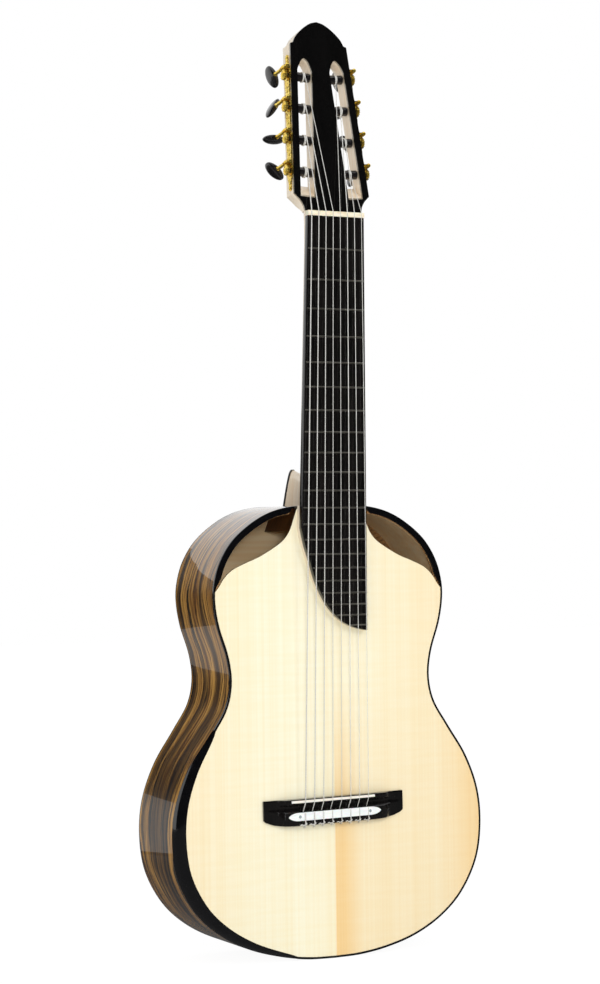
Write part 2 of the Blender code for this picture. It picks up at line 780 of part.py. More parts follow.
def head_outline():
    """The head's outline in its own frame, treble side from the nut up, then down the bass side."""
    nut_half = NUT_WIDTH / 2
    wide, corner = HEAD_SHOULDER_HALF_WIDTH, HEAD_CORNER_HALF_WIDTH
    rise = HEAD_SHOULDER_HEIGHT - HEAD_START
    flare = wide - nut_half
    right = [(nut_half, HEAD_START), (nut_half + 0.10 * flare, HEAD_START + 0.30 * rise),
             (nut_half + 0.38 * flare, HEAD_START + 0.62 * rise),
             (nut_half + 0.78 * flare, HEAD_START + 0.88 * rise), (wide, HEAD_SHOULDER_HEIGHT)]
    crown = HEAD_LENGTH - HEAD_CORNER_HEIGHT
    right += [(corner, HEAD_CORNER_HEIGHT), (corner - 0.0035, HEAD_CORNER_HEIGHT + 0.0012)]
    arch = corner - 0.0035
    right += [(arch * 0.90, HEAD_CORNER_HEIGHT + 0.28 * crown),
              (arch * 0.72, HEAD_CORNER_HEIGHT + 0.52 * crown),
              (arch * 0.50, HEAD_CORNER_HEIGHT + 0.74 * crown),
              (arch * 0.25, HEAD_CORNER_HEIGHT + 0.92 * crown)]
    return right + [(0.0, HEAD_LENGTH)] + [(-x, z) for x, z in reversed(right)]


def slot_cutter(front, back):
    """Both string slots: long, arched at the top, with a ramp at the foot."""
    meshes = []
    for side in (1, -1):
        frame = HEAD.inverted() @ side_frame(side)
        middle = -(SLOT_WALL + SLOT_WIDTH / 2)
        low = SLOT_BOTTOM - HEAD_SHOULDER_HEIGHT
        spring = SLOT_SPRING - HEAD_SHOULDER_HEIGHT
        half = SLOT_WIDTH / 2
        arch = (1.0, 0.86, 0.68, 0.48, 0.25, 0.0)
        shape = [(half * a, spring + SLOT_ARCH * (1.0 - a * a)) for a in arch]
        shape += [(-x, z) for x, z in reversed(shape[:-1])]
        rings = []
        for depth in (front, back):
            ramp = SLOT_RAMP * depth / (VENEER + HEAD_WOOD)
            foot = [(-half, low + ramp), (half, low + ramp)]
            rings.append([frame @ Vector((side * middle + x, depth, z)) for x, z in shape + foot])
        meshes.append(loft("slot", rings))
    return joined("slots", meshes)


def bore_radius(radius, sides):
    """A many-sided hole that clears a round shaft all round."""
    return (radius + SHAFT_CLEARANCE) / math.cos(math.pi / sides)


def roller_bores():
    """Stepped bores through each flank, across the slot and into the middle bar."""
    sides = ROUND_SIDES
    inner = -(SLOT_WALL + SLOT_WIDTH)
    meshes = []
    for side in (1, -1):
        frame = HEAD.inverted() @ side_frame(side)
        for k in range(ROLLER_COUNT):
            profile = [(side * (inner - ROLLER_TIP_LENGTH - GAP), bore_radius(ROLLER_TIP_RADIUS, sides)),
                       (side * (inner + SLOT_WIDTH / 2), bore_radius(ROLLER_TIP_RADIUS, sides)),
                       (side * (inner + SLOT_WIDTH / 2), bore_radius(ROLLER_SHAFT_RADIUS, sides)),
                       (side * 0.002, bore_radius(ROLLER_SHAFT_RADIUS, sides))]
            mesh = turned("bore", profile, sides, "X")
            place = Matrix.Translation((0.0, ROLLER_DEPTH, roller_height(k)))
            mesh.transform(frame @ place)
            meshes.append(mesh)
    return joined("bores", meshes)


def add_head():
    outline = head_outline()
    top = VENEER + GAP
    wood = prism("headstock", outline, top, VENEER + HEAD_WOOD)
    headstock = add_piece("headstock", wood, MAPLE, matrix=HEAD)
    boolean(headstock, slot_cutter(-0.001, VENEER + HEAD_WOOD + 0.001), "DIFFERENCE")
    boolean(headstock, roller_bores(), "DIFFERENCE").name = "headstock_bores"
    veneer = add_piece("head_veneer", prism("head_veneer", outline, 0.0, VENEER), EBONY, matrix=HEAD)
    boolean(veneer, slot_cutter(-0.001, VENEER + 0.001), "DIFFERENCE")


GEAR_CENTRE = PLATE_THICKNESS + GEAR_STANDOFF
WORM_ABOVE_ROLLER = GEAR_PITCH_RADIUS + WORM_PITCH_RADIUS
THREAD_LEAD = 2 * math.pi * GEAR_PITCH_RADIUS / GEAR_TEETH
THREAD_HALF = THREAD_TURNS * THREAD_LEAD / 2
LUG_START = THREAD_HALF + THREAD_BASE + GAP


def gear_mesh():
    """A straight-cut wheel with a gap between teeth at its highest point."""
    pitch = 2 * math.pi / GEAR_TEETH
    tip, root = GEAR_PITCH_RADIUS + GEAR_ADDENDUM, GEAR_PITCH_RADIUS - GEAR_DEDENDUM
    ring = []
    for tooth in range(GEAR_TEETH):
        middle = (tooth + 0.5) * pitch
        for share, radius in ((-0.33, root), (-0.12, tip), (0.12, tip), (0.33, root)):
            angle = middle + share * pitch
            ring.append((radius * math.sin(angle), radius * math.cos(angle)))
    inner, outer = GEAR_CENTRE - GEAR_FACE / 2, GEAR_CENTRE + GEAR_FACE / 2
    return loft("gear", [[Vector((x, y, z)) for y, z in ring] for x in (inner, outer)])


def roller_mesh():
    """Tip, barrel, shaft and gear wheel in one piece, round the X axis."""
    inner = -(SLOT_WALL + SLOT_WIDTH)
    end_gap = 0.0004
    profile = [(inner - ROLLER_TIP_LENGTH, ROLLER_TIP_RADIUS), (inner + end_gap, ROLLER_TIP_RADIUS),
               (inner + end_gap, BARREL_RADIUS), (-SLOT_WALL - end_gap, BARREL_RADIUS),
               (-SLOT_WALL - end_gap, ROLLER_SHAFT_RADIUS),
               (GEAR_CENTRE + GEAR_FACE / 2 + 0.0010, ROLLER_SHAFT_RADIUS)]
    return union_mesh("roller", [turned("spindle", profile, ROUND_SIDES, "X"), gear_mesh()])


def worm_mesh():
    """Ball, journals, threaded stretch and shaft in one piece, along the Y axis."""
    core = WORM_PITCH_RADIUS - WORM_CORE_DEPTH
    crest = WORM_PITCH_RADIUS + THREAD_HEIGHT
    ball = 1.5 * JOURNAL_RADIUS
    front = -LUG_START - LUG_THICKNESS - LUG_CLEARANCE
    profile = [(front - 1.9 * ball, 0.0), (front - 1.5 * ball, 0.8 * ball), (front - 0.8 * ball, ball),
               (front, JOURNAL_RADIUS), (-LUG_START + GAP, JOURNAL_RADIUS), (-LUG_START + GAP, core),
               (LUG_START - GAP, core), (LUG_START - GAP, JOURNAL_RADIUS),
               (WORM_SHAFT_LENGTH - ROLLER_DEPTH, JOURNAL_RADIUS)]
    spindle = turned("spindle", profile, SMALL_SIDES, "Y")
    per_turn = 10
    count = int(THREAD_TURNS * per_turn)
    rings = []
    for i in range(count + 1):
        angle = math.pi + 2 * math.pi * (i - count / 2) / per_turn
        along = THREAD_LEAD * (i - count / 2) / per_turn
        shape = ((-THREAD_BASE, 0.75 * core), (-THREAD_BASE / 2, crest), (THREAD_BASE / 2, crest),
                 (THREAD_BASE, 0.75 * core))
        rings.append([axis_point("Y", along + shift, radius, angle) for shift, radius in shape])
    return union_mesh("worm", [spindle, loft("thread", rings)])


def button_mesh():
    """An oval button, fuller in the middle, with its shaft side flat at Y = 0."""
    rounds = 10
    rows = [(0.0, 0.30), (0.06, 0.55), (0.28, 0.90), (0.60, 1.0), (0.88, 0.72), (1.0, 0.25)]
    rings = []
    for share, width in rows:
        ring = []
        for i in range(rounds):
            angle = 2 * math.pi * i / rounds
            side = math.copysign(abs(math.cos(angle)) ** 0.8, math.cos(angle))
            ring.append(Vector((BUTTON_THICKNESS / 2 * math.sin(angle) * (0.55 + 0.45 * width),
                                BUTTON_LENGTH * share, BUTTON_WIDTH / 2 * side * width)))
        rings.append(ring)
    return loft("button", rings)


def plate_mesh(side):
    """A machine plate with scalloped edges and a pair of drilled lugs for each worm."""
    out = side * PLATE_THICKNESS
    steps_between = 6
    last = ROLLER_COUNT - 1
    heights, halves = [], []
    for i in range(last * steps_between + 1):
        heights.append(roller_height(0) + ROLLER_PITCH * i / steps_between)
        halves.append(PLATE_HALF_WIDTH * (0.80 + 0.20 * math.cos(2 * math.pi * i / steps_between)))
    ends = [(-PLATE_END, 0.16), (-0.8 * PLATE_END, 0.42), (-0.45 * PLATE_END, 0.66)]
    heights = [heights[0] + d for d, _ in ends] + heights + [heights[-1] - d for d, _ in reversed(ends)]
    halves = ([PLATE_HALF_WIDTH * w for _, w in ends] + halves
              + [PLATE_HALF_WIDTH * w for _, w in reversed(ends)])
    ring = [(ROLLER_DEPTH + h, z) for h, z in zip(halves, heights)]
    ring += [(ROLLER_DEPTH - h, z) for h, z in reversed(list(zip(halves, heights)))]
    base = side * GAP
    plate = loft("plate", [[Vector((x, y, z)) for y, z in ring] for x in (base, base + out)])
    lugs = []
    reach = GEAR_CENTRE + LUG_HALF_WIDTH
    for k in range(ROLLER_COUNT):
        z = roller_height(k) + WORM_ABOVE_ROLLER
        for start in (-LUG_START - LUG_THICKNESS, LUG_START):
            low, high = z - LUG_HALF_WIDTH, z + LUG_HALF_WIDTH
            outer = side * reach
            shape = [(base + 0.5 * out, low), (outer, low + 0.0012), (outer, high - 0.0012),
                     (base + 0.5 * out, high)]
            ends = [ROLLER_DEPTH + start, ROLLER_DEPTH + start + LUG_THICKNESS]
            lugs.append(loft("lug", [[Vector((x, y, z)) for x, z in shape] for y in ends]))
    return plate, lugs


def plate_holes(side):
    meshes = []
    sides = ROUND_SIDES
    for k in range(ROLLER_COUNT):
        span = (side * -0.001, side * (PLATE_THICKNESS + 0.001))
        hole = turned("hole", [(x, bore_radius(ROLLER_SHAFT_RADIUS, sides)) for x in span], sides, "X")
        hole.transform(Matrix.Translation((0.0, ROLLER_DEPTH, roller_height(k))))
        meshes.append(hole)
        reach = LUG_START + LUG_THICKNESS + 0.001
        span = [(y, bore_radius(JOURNAL_RADIUS, SMALL_SIDES)) for y in (-reach, reach)]
        bore = turned("bore", span, SMALL_SIDES, "Y")
        place = (side * GEAR_CENTRE, ROLLER_DEPTH, roller_height(k) + WORM_ABOVE_ROLLER)
        bore.transform(Matrix.Translation(place))
        meshes.append(bore)
    return joined("holes", meshes)


def add_tuners():
    roller, worm, button = roller_mesh(), worm_mesh(), button_mesh()
    for side, name in ((1, "treble"), (-1, "bass")):
        frame = side_frame(side)
        plate, lugs = plate_mesh(side)
        piece = add_piece("machine_plate_" + name, plate, GOLD, matrix=frame)
        boolean(piece, joined("lugs", lugs), "UNION")
        boolean(piece, plate_holes(side), "DIFFERENCE")
        for k in range(ROLLER_COUNT):
            label = name + "_" + str(k + 1)
            axis = frame @ Matrix.Translation((0.0, ROLLER_DEPTH, roller_height(k)))
            facing = Matrix.Rotation(0.0 if side > 0 else math.pi, 4, "Y")
            add_piece("roller_" + label, roller.copy(), BLACK_BUTTON, matrix=axis @ facing)
            above = Matrix.Translation((side * GEAR_CENTRE, 0.0, WORM_ABOVE_ROLLER))
            add_piece("worm_shaft_" + label, worm.copy(), GOLD, matrix=axis @ above)
            turn = math.radians(BUTTON_TURNS[k + (0 if side < 0 else ROLLER_COUNT)])
            end = Matrix.Translation((0.0, WORM_SHAFT_LENGTH - ROLLER_DEPTH + GAP, 0.0))
            place = axis @ above @ end @ Matrix.Rotation(turn, 4, "Y")
            add_piece("button_" + label, button.copy(), BLACK_BUTTON, 60.0, place)


def bridge_frame():
    """The bridge's frame: origin on the soundboard under the saddle, Z towards the nut."""
    return Matrix.Translation((0.0, 0.0, SADDLE)) @ Matrix.Rotation(-BRIDGE_SLANT, 4, "Y")


BRIDGE = bridge_frame()
TIE_BLOCK_END = TIE_BLOCK_START + TIE_BLOCK_LENGTH


def tie_hole_x(number):
    return string_x(number, SADDLE_STRING_SPREAD)


def add_bridge():
    """The bridge: thin wings, a ridge that holds the saddle, a channel and a drilled tie block."""
    half, block = BRIDGE_LENGTH / 2, BRIDGE_BLOCK_LENGTH / 2
    front, end = BRIDGE_FRONT, -TIE_BLOCK_END
    right = [(half - 0.0005, front), (half + 0.0005, 0.68 * end), (0.86 * half, 0.86 * end),
             (0.72 * half, 0.97 * end), (0.60 * half, end)]
    wings = right + [(-x, z) for x, z in reversed(right)]
    base = prism("bridge", wings, -BRIDGE_WING_HEIGHT, -GAP)
    cross = [(front, -GAP - 0.0010), (front - 0.0006, -SADDLE_RIDGE_HEIGHT + 0.0008),
             (front - 0.0014, -SADDLE_RIDGE_HEIGHT), (-0.0032, -SADDLE_RIDGE_HEIGHT),
             (-0.0044, -CHANNEL_HEIGHT), (-TIE_BLOCK_START, -CHANNEL_HEIGHT),
             (-TIE_BLOCK_START, -TIE_BLOCK_HEIGHT), (end + 0.0010, -TIE_BLOCK_HEIGHT),
             (end, -TIE_BLOCK_HEIGHT + 0.0012), (end, -GAP - 0.0010)]
    ends = []
    for x, share in ((-block - 0.008, 0.0), (-block, 1.0), (block, 1.0), (block + 0.008, 0.0)):
        low = -BRIDGE_WING_HEIGHT + 0.0002
        ring = []
        for z, y in cross:
            level = y if y > low else low + (y - low) * max(share, 0.02)
            ring.append(Vector((x, level, z * 0.995)))
        ends.append(ring)
    piece = add_piece("bridge", base, EBONY, matrix=BRIDGE)
    boolean(piece, loft("block", ends), "UNION")
    seat = box("seat", SADDLE_LENGTH / 2 + GAP, SADDLE_THICKNESS / 2 + GAP,
               -SADDLE_RIDGE_HEIGHT - 0.001, -SADDLE_SEAT + GAP)
    seat.transform(Matrix.Translation((SADDLE_SHIFT, 0.0, 0.0)))
    cutters = [seat]
    for number in range(len(STRING_DIAMETERS)):
        span = (TIE_BLOCK_START - 0.001, TIE_BLOCK_END + 0.001)
        hole = turned("hole", [(y, TIE_HOLE_RADIUS) for y in span], 8, "Y")
        hole.transform(Matrix.Rotation(-math.pi / 2, 4, "X"))
        hole.transform(Matrix.Translation((tie_hole_x(number), -TIE_HOLE_HEIGHT, 0.0)))
        cutters.append(hole)
    boolean(piece, joined("cuts", cutters), "DIFFERENCE")

    saddle = box("saddle", SADDLE_LENGTH / 2, SADDLE_THICKNESS / 2, -SADDLE_HEIGHT, -SADDLE_SEAT)
    saddle.transform(Matrix.Translation((SADDLE_SHIFT, 0.0, 0.0)))
    add_piece("saddle", saddle, BONE, matrix=BRIDGE)

    middle = -TIE_PLATE_MIDDLE
    plan = []
    for x_share, z_share in ((1.0, 0.0), (0.96, 0.45), (0.90, 0.78), (0.82, 1.0)):
        plan.append((TIE_PLATE_LENGTH / 2 * x_share, middle + TIE_PLATE_WIDTH / 2 * z_share))
    plan = [(x, 2 * middle - z) for x, z in reversed(plan[1:])] + plan
    plan += [(-x, z) for x, z in reversed(plan)]
    near = -TIE_BLOCK_HEIGHT - GAP - TIE_PLATE_THICKNESS
    tie_plate = prism("tie_plate", plan, near, near + TIE_PLATE_THICKNESS)
    tie_plate.transform(Matrix.Translation((TIE_PLATE_SHIFT, 0.0, 0.0)))
    add_piece("tie_plate", tie_plate, WHITE_PLATE, matrix=BRIDGE)


def box(name, half_x, half_z, near, far):
    plan = [(half_x, -half_z), (half_x, half_z), (-half_x, half_z), (-half_x, -half_z)]
    return prism(name, plan, near, far)


def tie_route(number):
    """The string's end at the bridge, from its free tip over the tie block to the saddle's top."""
    radius = STRING_DIAMETERS[number] / 2
    x = tie_hole_x(number)
    over = -(TIE_BLOCK_HEIGHT + TIE_PLATE_THICKNESS + 3 * GAP + radius)
    hole = -TIE_HOLE_HEIGHT
    back = -TIE_BLOCK_END - GAP - radius
    crown = -(SADDLE_HEIGHT + GAP + radius)
    shape = [(over, -TIE_BLOCK_START - 0.0012), (over, back + 0.0016), (over + 0.0006, back + 0.0002),
             (over + 0.0020, back - 0.0008), (hole - 0.0012, back - 0.0008), (hole, back + 0.0002),
             (hole, -TIE_BLOCK_START + 0.0002), (hole - 0.0006, -TIE_BLOCK_START + 0.0014),
             (crown + 0.0006, -SADDLE_THICKNESS / 2 - 0.0006), (crown, -0.0002)]
    return [BRIDGE @ Vector((x, y, z)) for y, z in shape]


def winding_route(number, nut_end):
    """The string's way from the nut to its roller and round the barrel."""
    strings = len(STRING_DIAMETERS)
    side = 1 if number < strings / 2 else -1
    k = number if side > 0 else strings - 1 - number
    frame = side_frame(side)
    start = frame.inverted() @ nut_end
    radius = BARREL_RADIUS + GAP + 0.0001 + STRING_DIAMETERS[number] / 2
    axis = Vector((0.0, ROLLER_DEPTH, roller_height(k)))

    def on_barrel(angle, along):
        return Vector((side * along, axis.y - radius * math.cos(angle), axis.z + radius * math.sin(angle)))

    first = 0.0
    for _ in range(8):
        touch = on_barrel(first, 0.0)
        first = math.atan2(touch.y - start.y, touch.z - start.z)
    pitch = STRING_DIAMETERS[number] + WINDING_SPACE
    inner = -SLOT_WALL - WINDING_INSET
    route = []
    for i in range(int(WINDING_TURNS * WINDING_STEPS) + 1):
        angle = first + 2 * math.pi * i / WINDING_STEPS
        route.append(frame @ on_barrel(angle, inner + pitch * i / WINDING_STEPS))
    return route


def string_route(number):
    radius = STRING_DIAMETERS[number] / 2
    x = string_x(number, NUT_STRING_SPREAD)
    level = string_level(number)
    nut_front = Vector((x, level, -0.0002))
    nut_end = Vector((x, level, NUT_THICKNESS + 0.0003))
    ties = tie_route(number)
    middle = ties[-1].lerp(nut_front, 0.5)
    return ties + [middle, nut_front, nut_end] + winding_route(number, nut_end), radius


def least_gap(route, radius):
    """The least gap between far stretches of one tube, measured between its points."""
    least = 1.0
    skip = WINDING_STEPS // 3
    for i, a in enumerate(route):
        for b in route[i + skip:]:
            least = min(least, (a - b).length - 2 * radius)
    return least


def add_strings():
    smallest = 1.0
    for number in range(len(STRING_DIAMETERS)):
        route, radius = string_route(number)
        name = "string_" + str(number + 1)
        curve = bpy.data.curves.new(name, "CURVE")
        curve.dimensions = "3D"
        spline = curve.splines.new("POLY")
        spline.points.add(len(route) - 1)
        for point, place in zip(spline.points, route):
            point.co = (*place, 1.0)
        curve.bevel_depth = radius
        curve.bevel_resolution = 1
        curve.render_resolution_u = 0
        curve.use_fill_caps = True
        curve.materials.append(material_for(name, NYLON))
        cord = bpy.data.objects.new(name, curve)
        bpy.context.collection.objects.link(cord)
        smallest = min(smallest, least_gap(route, radius))
    print("Least gap of a string to itself, in mm:", round(smallest * 1000, 2))


def add_bracing():
    """Fan struts under the lower bout, a bar below the ports and bars across the back."""
    top = TOP_THICKNESS + GAP
    reach = PATCH_HALF_WIDTH
    low = SADDLE - PATCH_LENGTH
    patch = [(-reach, low), (reach, low), (reach, SADDLE), (-reach, SADDLE)]
    meshes = [prism("patch", patch, top, top + PATCH_THICKNESS)]
    for spread in (-2, -1, 0, 1, 2):
        head_x, foot_x = spread * FAN_SPACING_ABOVE, spread * FAN_SPACING_BELOW
        head_z, foot_z = SADDLE + FAN_ABOVE_SADDLE, SADDLE - FAN_BELOW_SADDLE
        half = STRUT_WIDTH / 2
        plan = [(foot_x - half, foot_z), (foot_x + half, foot_z), (head_x + half, head_z),
                (head_x - half, head_z)]
        meshes.append(prism("strut", plan, top, top + STRUT_HEIGHT))
    add_piece("fan_braces", union_mesh("fan_braces", meshes), SPRUCE)

    z = JOIN - BAR_BELOW_JOIN
    bar = box("bar", bar_reach(z), BAR_WIDTH / 2, top, top + BAR_HEIGHT)
    bar.transform(Matrix.Translation((0.0, 0.0, z)))
    add_piece("transverse_bar", bar, SPRUCE)

    block_gap = SIDE_THICKNESS + 3 * GAP
    upper = Vector((0.0, JOIN - NECK_BLOCK_LENGTH - block_gap))
    lower = Vector((0.0, TAIL + TAIL_BLOCK_LENGTH + block_gap))
    bars = [curved_bar(upper, lower, BACK_STRIP_WIDTH, BACK_STRIP_HEIGHT)]
    for drop in BACK_BARS_BELOW_JOIN:
        z = JOIN - drop
        reach = bar_reach(z)
        bars.append(curved_bar(Vector((-reach, z)), Vector((reach, z)), BAR_WIDTH, BAR_HEIGHT))
    add_piece("back_bars", union_mesh("back_bars", bars), CEDAR)


def half_width_at(z):
    for (a, _), (b, _) in zip(OUTLINE[:HALF], OUTLINE[1:HALF + 1]):
        if b.y <= z < a.y:
            return a.lerp(b, (z - a.y) / (b.y - a.y)).x
    return 0.0


def bar_reach(z):
    """Half the length of a crossbar that ends just inside the linings."""
    narrowest = min(half_width_at(z + BAR_WIDTH / 2), half_width_at(z - BAR_WIDTH / 2))
    return narrowest - (SIDE_THICKNESS + LINING_WIDTH) * LINING_SLANT - 2 * GAP


def curved_bar(start, end, width, height):
    """A bar between two places (x, z) that follows the inside of the domed back."""
    steps = 8
    along = (end - start).normalized()
    across = Vector((along.y, 0.0, -along.x)) * width / 2
    rise = Vector((0.0, -height, 0.0))
    rings = []
    for i in range(steps + 1):
        place = start.lerp(end, i / steps)
        level = back_level(place.y) - BACK_THICKNESS + dome_at(place.x, place.y) - 2 * GAP
        seat = Vector((place.x, level, place.y))
        rings.append([seat - across, seat + across, seat + across + rise, seat - across + rise])
    return loft("bar", rings)


def main():
    clear_scene()
    add_soundboard()
    add_back()
    add_sides()
    add_linings()
    add_bindings()
    add_armrest()
    add_blocks()
    add_bracing()
    add_neck()
    add_fingerboard()
    add_nut()
    add_head()
    add_tuners()
    add_bridge()
    add_strings()


main()
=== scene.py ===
"""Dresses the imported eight-string classical guitar with its woods, metals and strings."""
import math

import bmesh
import bpy
from mathutils import Matrix, Vector


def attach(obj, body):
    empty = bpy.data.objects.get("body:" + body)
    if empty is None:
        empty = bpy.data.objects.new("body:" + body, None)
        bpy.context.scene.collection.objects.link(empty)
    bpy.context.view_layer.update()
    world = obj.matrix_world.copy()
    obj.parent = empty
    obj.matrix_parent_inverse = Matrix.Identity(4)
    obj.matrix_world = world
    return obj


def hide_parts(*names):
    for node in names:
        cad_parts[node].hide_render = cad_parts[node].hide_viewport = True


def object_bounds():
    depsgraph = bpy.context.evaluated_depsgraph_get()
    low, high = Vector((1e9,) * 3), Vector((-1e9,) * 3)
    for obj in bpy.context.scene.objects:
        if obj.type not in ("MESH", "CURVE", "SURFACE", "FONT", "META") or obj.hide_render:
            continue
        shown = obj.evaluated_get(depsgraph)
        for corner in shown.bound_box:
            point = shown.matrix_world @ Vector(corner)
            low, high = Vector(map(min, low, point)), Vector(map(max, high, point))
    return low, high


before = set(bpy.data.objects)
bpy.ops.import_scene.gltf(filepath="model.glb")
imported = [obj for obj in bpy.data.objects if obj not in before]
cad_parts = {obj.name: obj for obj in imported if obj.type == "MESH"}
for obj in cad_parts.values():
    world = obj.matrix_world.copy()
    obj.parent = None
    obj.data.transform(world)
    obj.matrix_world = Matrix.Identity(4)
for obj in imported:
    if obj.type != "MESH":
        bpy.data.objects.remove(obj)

bl_info = {
    "name": "Eight-string classical guitar",
    "version": (1, 0, 0),
    "blender": (4, 5, 0),
    "location": "3D View > Sidebar > Guitar",
    "description": "Builds the visible guitar round its packed solids",
    "category": "Add Mesh",
}

CAD_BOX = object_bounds()
BODY = "body"

# Where the sides and the back lie in the rosewood's figure, in metres across its grain
BASS_GRAIN_OFFSET = 0.31
BACK_GRAIN_OFFSET = 0.55
# Clearance round each shaft in its bore, round the saddle and under a string's turns
BORE_EASE = 0.0001

# A string's first turn, inwards from the slot's outer wall, and the gap from turn to turn
FIRST_TURN = 0.0105
TURN_GAP = 0.00012

# The solids' own sizes, in metres
GAP = 0.0003
SCALE_LENGTH = 0.650
STRING_DIAMETERS = (0.00072, 0.00082, 0.00102, 0.00076, 0.00090, 0.00105, 0.00115, 0.00132)
PLAIN_STRINGS = 3
NUT_STRING_SPREAD = 0.0625
SADDLE_STRING_SPREAD = 0.0795
STRING_OVER_FRET = 0.0004
# Body
BODY_LENGTH = 0.5065
UPPER_BOUT = 0.289
WAIST = 0.251
LOWER_BOUT = 0.383
DEPTH_AT_NECK = 0.103
DEPTH_AT_TAIL = 0.107
TOP_THICKNESS = 0.0025
BACK_THICKNESS = 0.0025
BACK_DOME = 0.005
SIDE_THICKNESS = 0.0022
BINDING_WIDTH = 0.0025
PORT_RIM_WIDTH = 0.0075
PORT_FOOT_DROP = 0.094
RIM_RUN_OUT = 0.018
RIM_BESIDE_BOARD = 0.006
LINING_WIDTH = 0.006
LINING_DEPTH = 0.012
ARMREST_SWELL = 0.65
ARMREST_WIDTH = 0.0125
BLOCK_HALF_WIDTH = 0.033
COARSE_STEPS = 64
FINE = 4
# Fingerboard, nut and neck
NUT_WIDTH = 0.0705
BOARD_WIDTH_AT_JOIN = 0.081
BOARD_THICKNESS = 0.0065
BOARD_HEIGHT_AT_JOIN = 0.0137
NECK_SLOPE = 0.034
FRET_COUNT = 21
BOARD_BELOW_LAST_FRET = 0.0062
FRET_HEIGHT = 0.0010
FRET_INSET_BASS = 0.0009
FRET_INSET_TREBLE = 0.0012
NUT_THICKNESS = 0.0055
NUT_HEIGHT = 0.0021
STRING_SLOT_EASE = 0.00008
NECK_DEPTH = 0.0150
NECK_SWELL = 0.030
HEEL_LENGTH = 0.038
HEEL_TIP_HALF_WIDTH = 0.0075
# Head, with its string slots
HEAD_TILT = math.radians(9.5)
HEAD_DROP = 0.0045
HEAD_LENGTH = 0.2295
HEAD_SHOULDER_HALF_WIDTH = 0.047
HEAD_CORNER_HALF_WIDTH = 0.0355
HEAD_SHOULDER_HEIGHT = 0.026
HEAD_CORNER_HEIGHT = 0.202
HEAD_START = 0.0065
HEAD_WOOD = 0.0175
VENEER = 0.0020
FACE_LAYERS = (0.0, 0.0017, 0.0024, 0.0033)
SLOT_WALL = 0.0080
SLOT_WIDTH = 0.0185
SLOT_BOTTOM = 0.0225
SLOT_RAMP = 0.0190
SLOT_SPRING = 0.1720
SLOT_ARCH = 0.0145
# Tuning machines
ROLLER_COUNT = 4
FIRST_ROLLER = 0.0542
ROLLER_PITCH = 0.0374
ROLLER_DEPTH = 0.0080
BARREL_RADIUS = 0.0052
ROLLER_SHAFT_RADIUS = 0.0032
ROLLER_TIP_RADIUS = 0.0024
ROLLER_TIP_LENGTH = 0.0050
GEAR_TEETH = 14
GEAR_PITCH_RADIUS = 0.0058
GEAR_ADDENDUM = 0.0006
GEAR_DEDENDUM = 0.0008
GEAR_FACE = 0.0030
GEAR_STANDOFF = 0.0038
FACE_DRAWN_RADIUS = 0.0064
WORM_PITCH_RADIUS = 0.0026
WORM_CORE_DEPTH = 0.0008
THREAD_HEIGHT = 0.0005
THREAD_BASE = 0.0006
THREAD_TURNS = 2.1
PLATE_THICKNESS = 0.0013
PLATE_HALF_WIDTH = 0.0068
PLATE_END = 0.0240
LUG_HALF_WIDTH = 0.0026
LUG_THICKNESS = 0.0024
LUG_CLEARANCE = 0.0004
JOURNAL_RADIUS = 0.0016
WORM_SHAFT_LENGTH = 0.0300
BUTTON_LENGTH = 0.0170
BUTTON_WIDTH = 0.0260
BUTTON_THICKNESS = 0.0078
BUTTON_TURNS = (-50.0, 90.0, 30.0, -25.0, 20.0, -40.0, 65.0, -15.0)
# Bridge and saddle
BRIDGE_SLANT = math.radians(1.0)
BRIDGE_LENGTH = 0.175
BRIDGE_BLOCK_LENGTH = 0.122
BRIDGE_FRONT = 0.0028
BRIDGE_WING_HEIGHT = 0.0032
WING_SLOPE = 0.011
SADDLE_RIDGE_HEIGHT = 0.0078
CHANNEL_HEIGHT = 0.0026
TIE_BLOCK_HEIGHT = 0.0078
TIE_BLOCK_START = 0.0115
TIE_BLOCK_LENGTH = 0.0155
TIE_HOLE_HEIGHT = 0.0044
TIE_HOLE_RADIUS = 0.0012
TIE_PLATE_LENGTH = 0.116
TIE_PLATE_MIDDLE = 0.0166
TIE_PLATE_SHIFT = -0.0018
TIE_PLATE_WIDTH = 0.0092
TIE_PLATE_THICKNESS = 0.0010
DOT_OFFSET = 0.0440
SADDLE_LENGTH = 0.104
SADDLE_SHIFT = -0.0036
SADDLE_THICKNESS = 0.0027
SADDLE_HEIGHT = 0.0104
SADDLE_SEAT = 0.0042

# The heel as it is drawn here, with a finer sweep than the solid's
HEEL_UNDERCUT = 0.030
HEEL_DRAWN = HEEL_LENGTH - 0.0043
HEEL_PIVOT = 0.70
HEEL_SLOPE = 0.20
HEEL_CURVE = 0.007
HEEL_CAP_DRAWN = 0.0042

# Heights along the strings
FRET_12 = -SCALE_LENGTH / 2
JOIN = FRET_12 + 0.003
SADDLE = -SCALE_LENGTH
SIDES = {"treble": 1, "bass": -1}

# Strength of the white that the camera sees in the floor
FLOOR_WHITE = 1.08
# The photograph's view: turn, tilt and roll in degrees, distance and target in metres
VIEW_TURN = 26.515
VIEW_TILT = -1.125
VIEW_ROLL = 0.693
VIEW_DISTANCE = 2.6946
VIEW_FOCAL_PIXELS = 2414.1
VIEW_TARGET = (-0.036640, 0.0, -0.306910)
FRAME_PIXELS = (600, 984)


def linear(text):
    """An sRGB hex colour as linear red, green, blue and alpha."""
    channels = [int(text[i:i + 2], 16) / 255 for i in (1, 3, 5)]
    return [c / 12.92 if c <= 0.04045 else ((c + 0.055) / 1.055) ** 2.4 for c in channels] + [1.0]


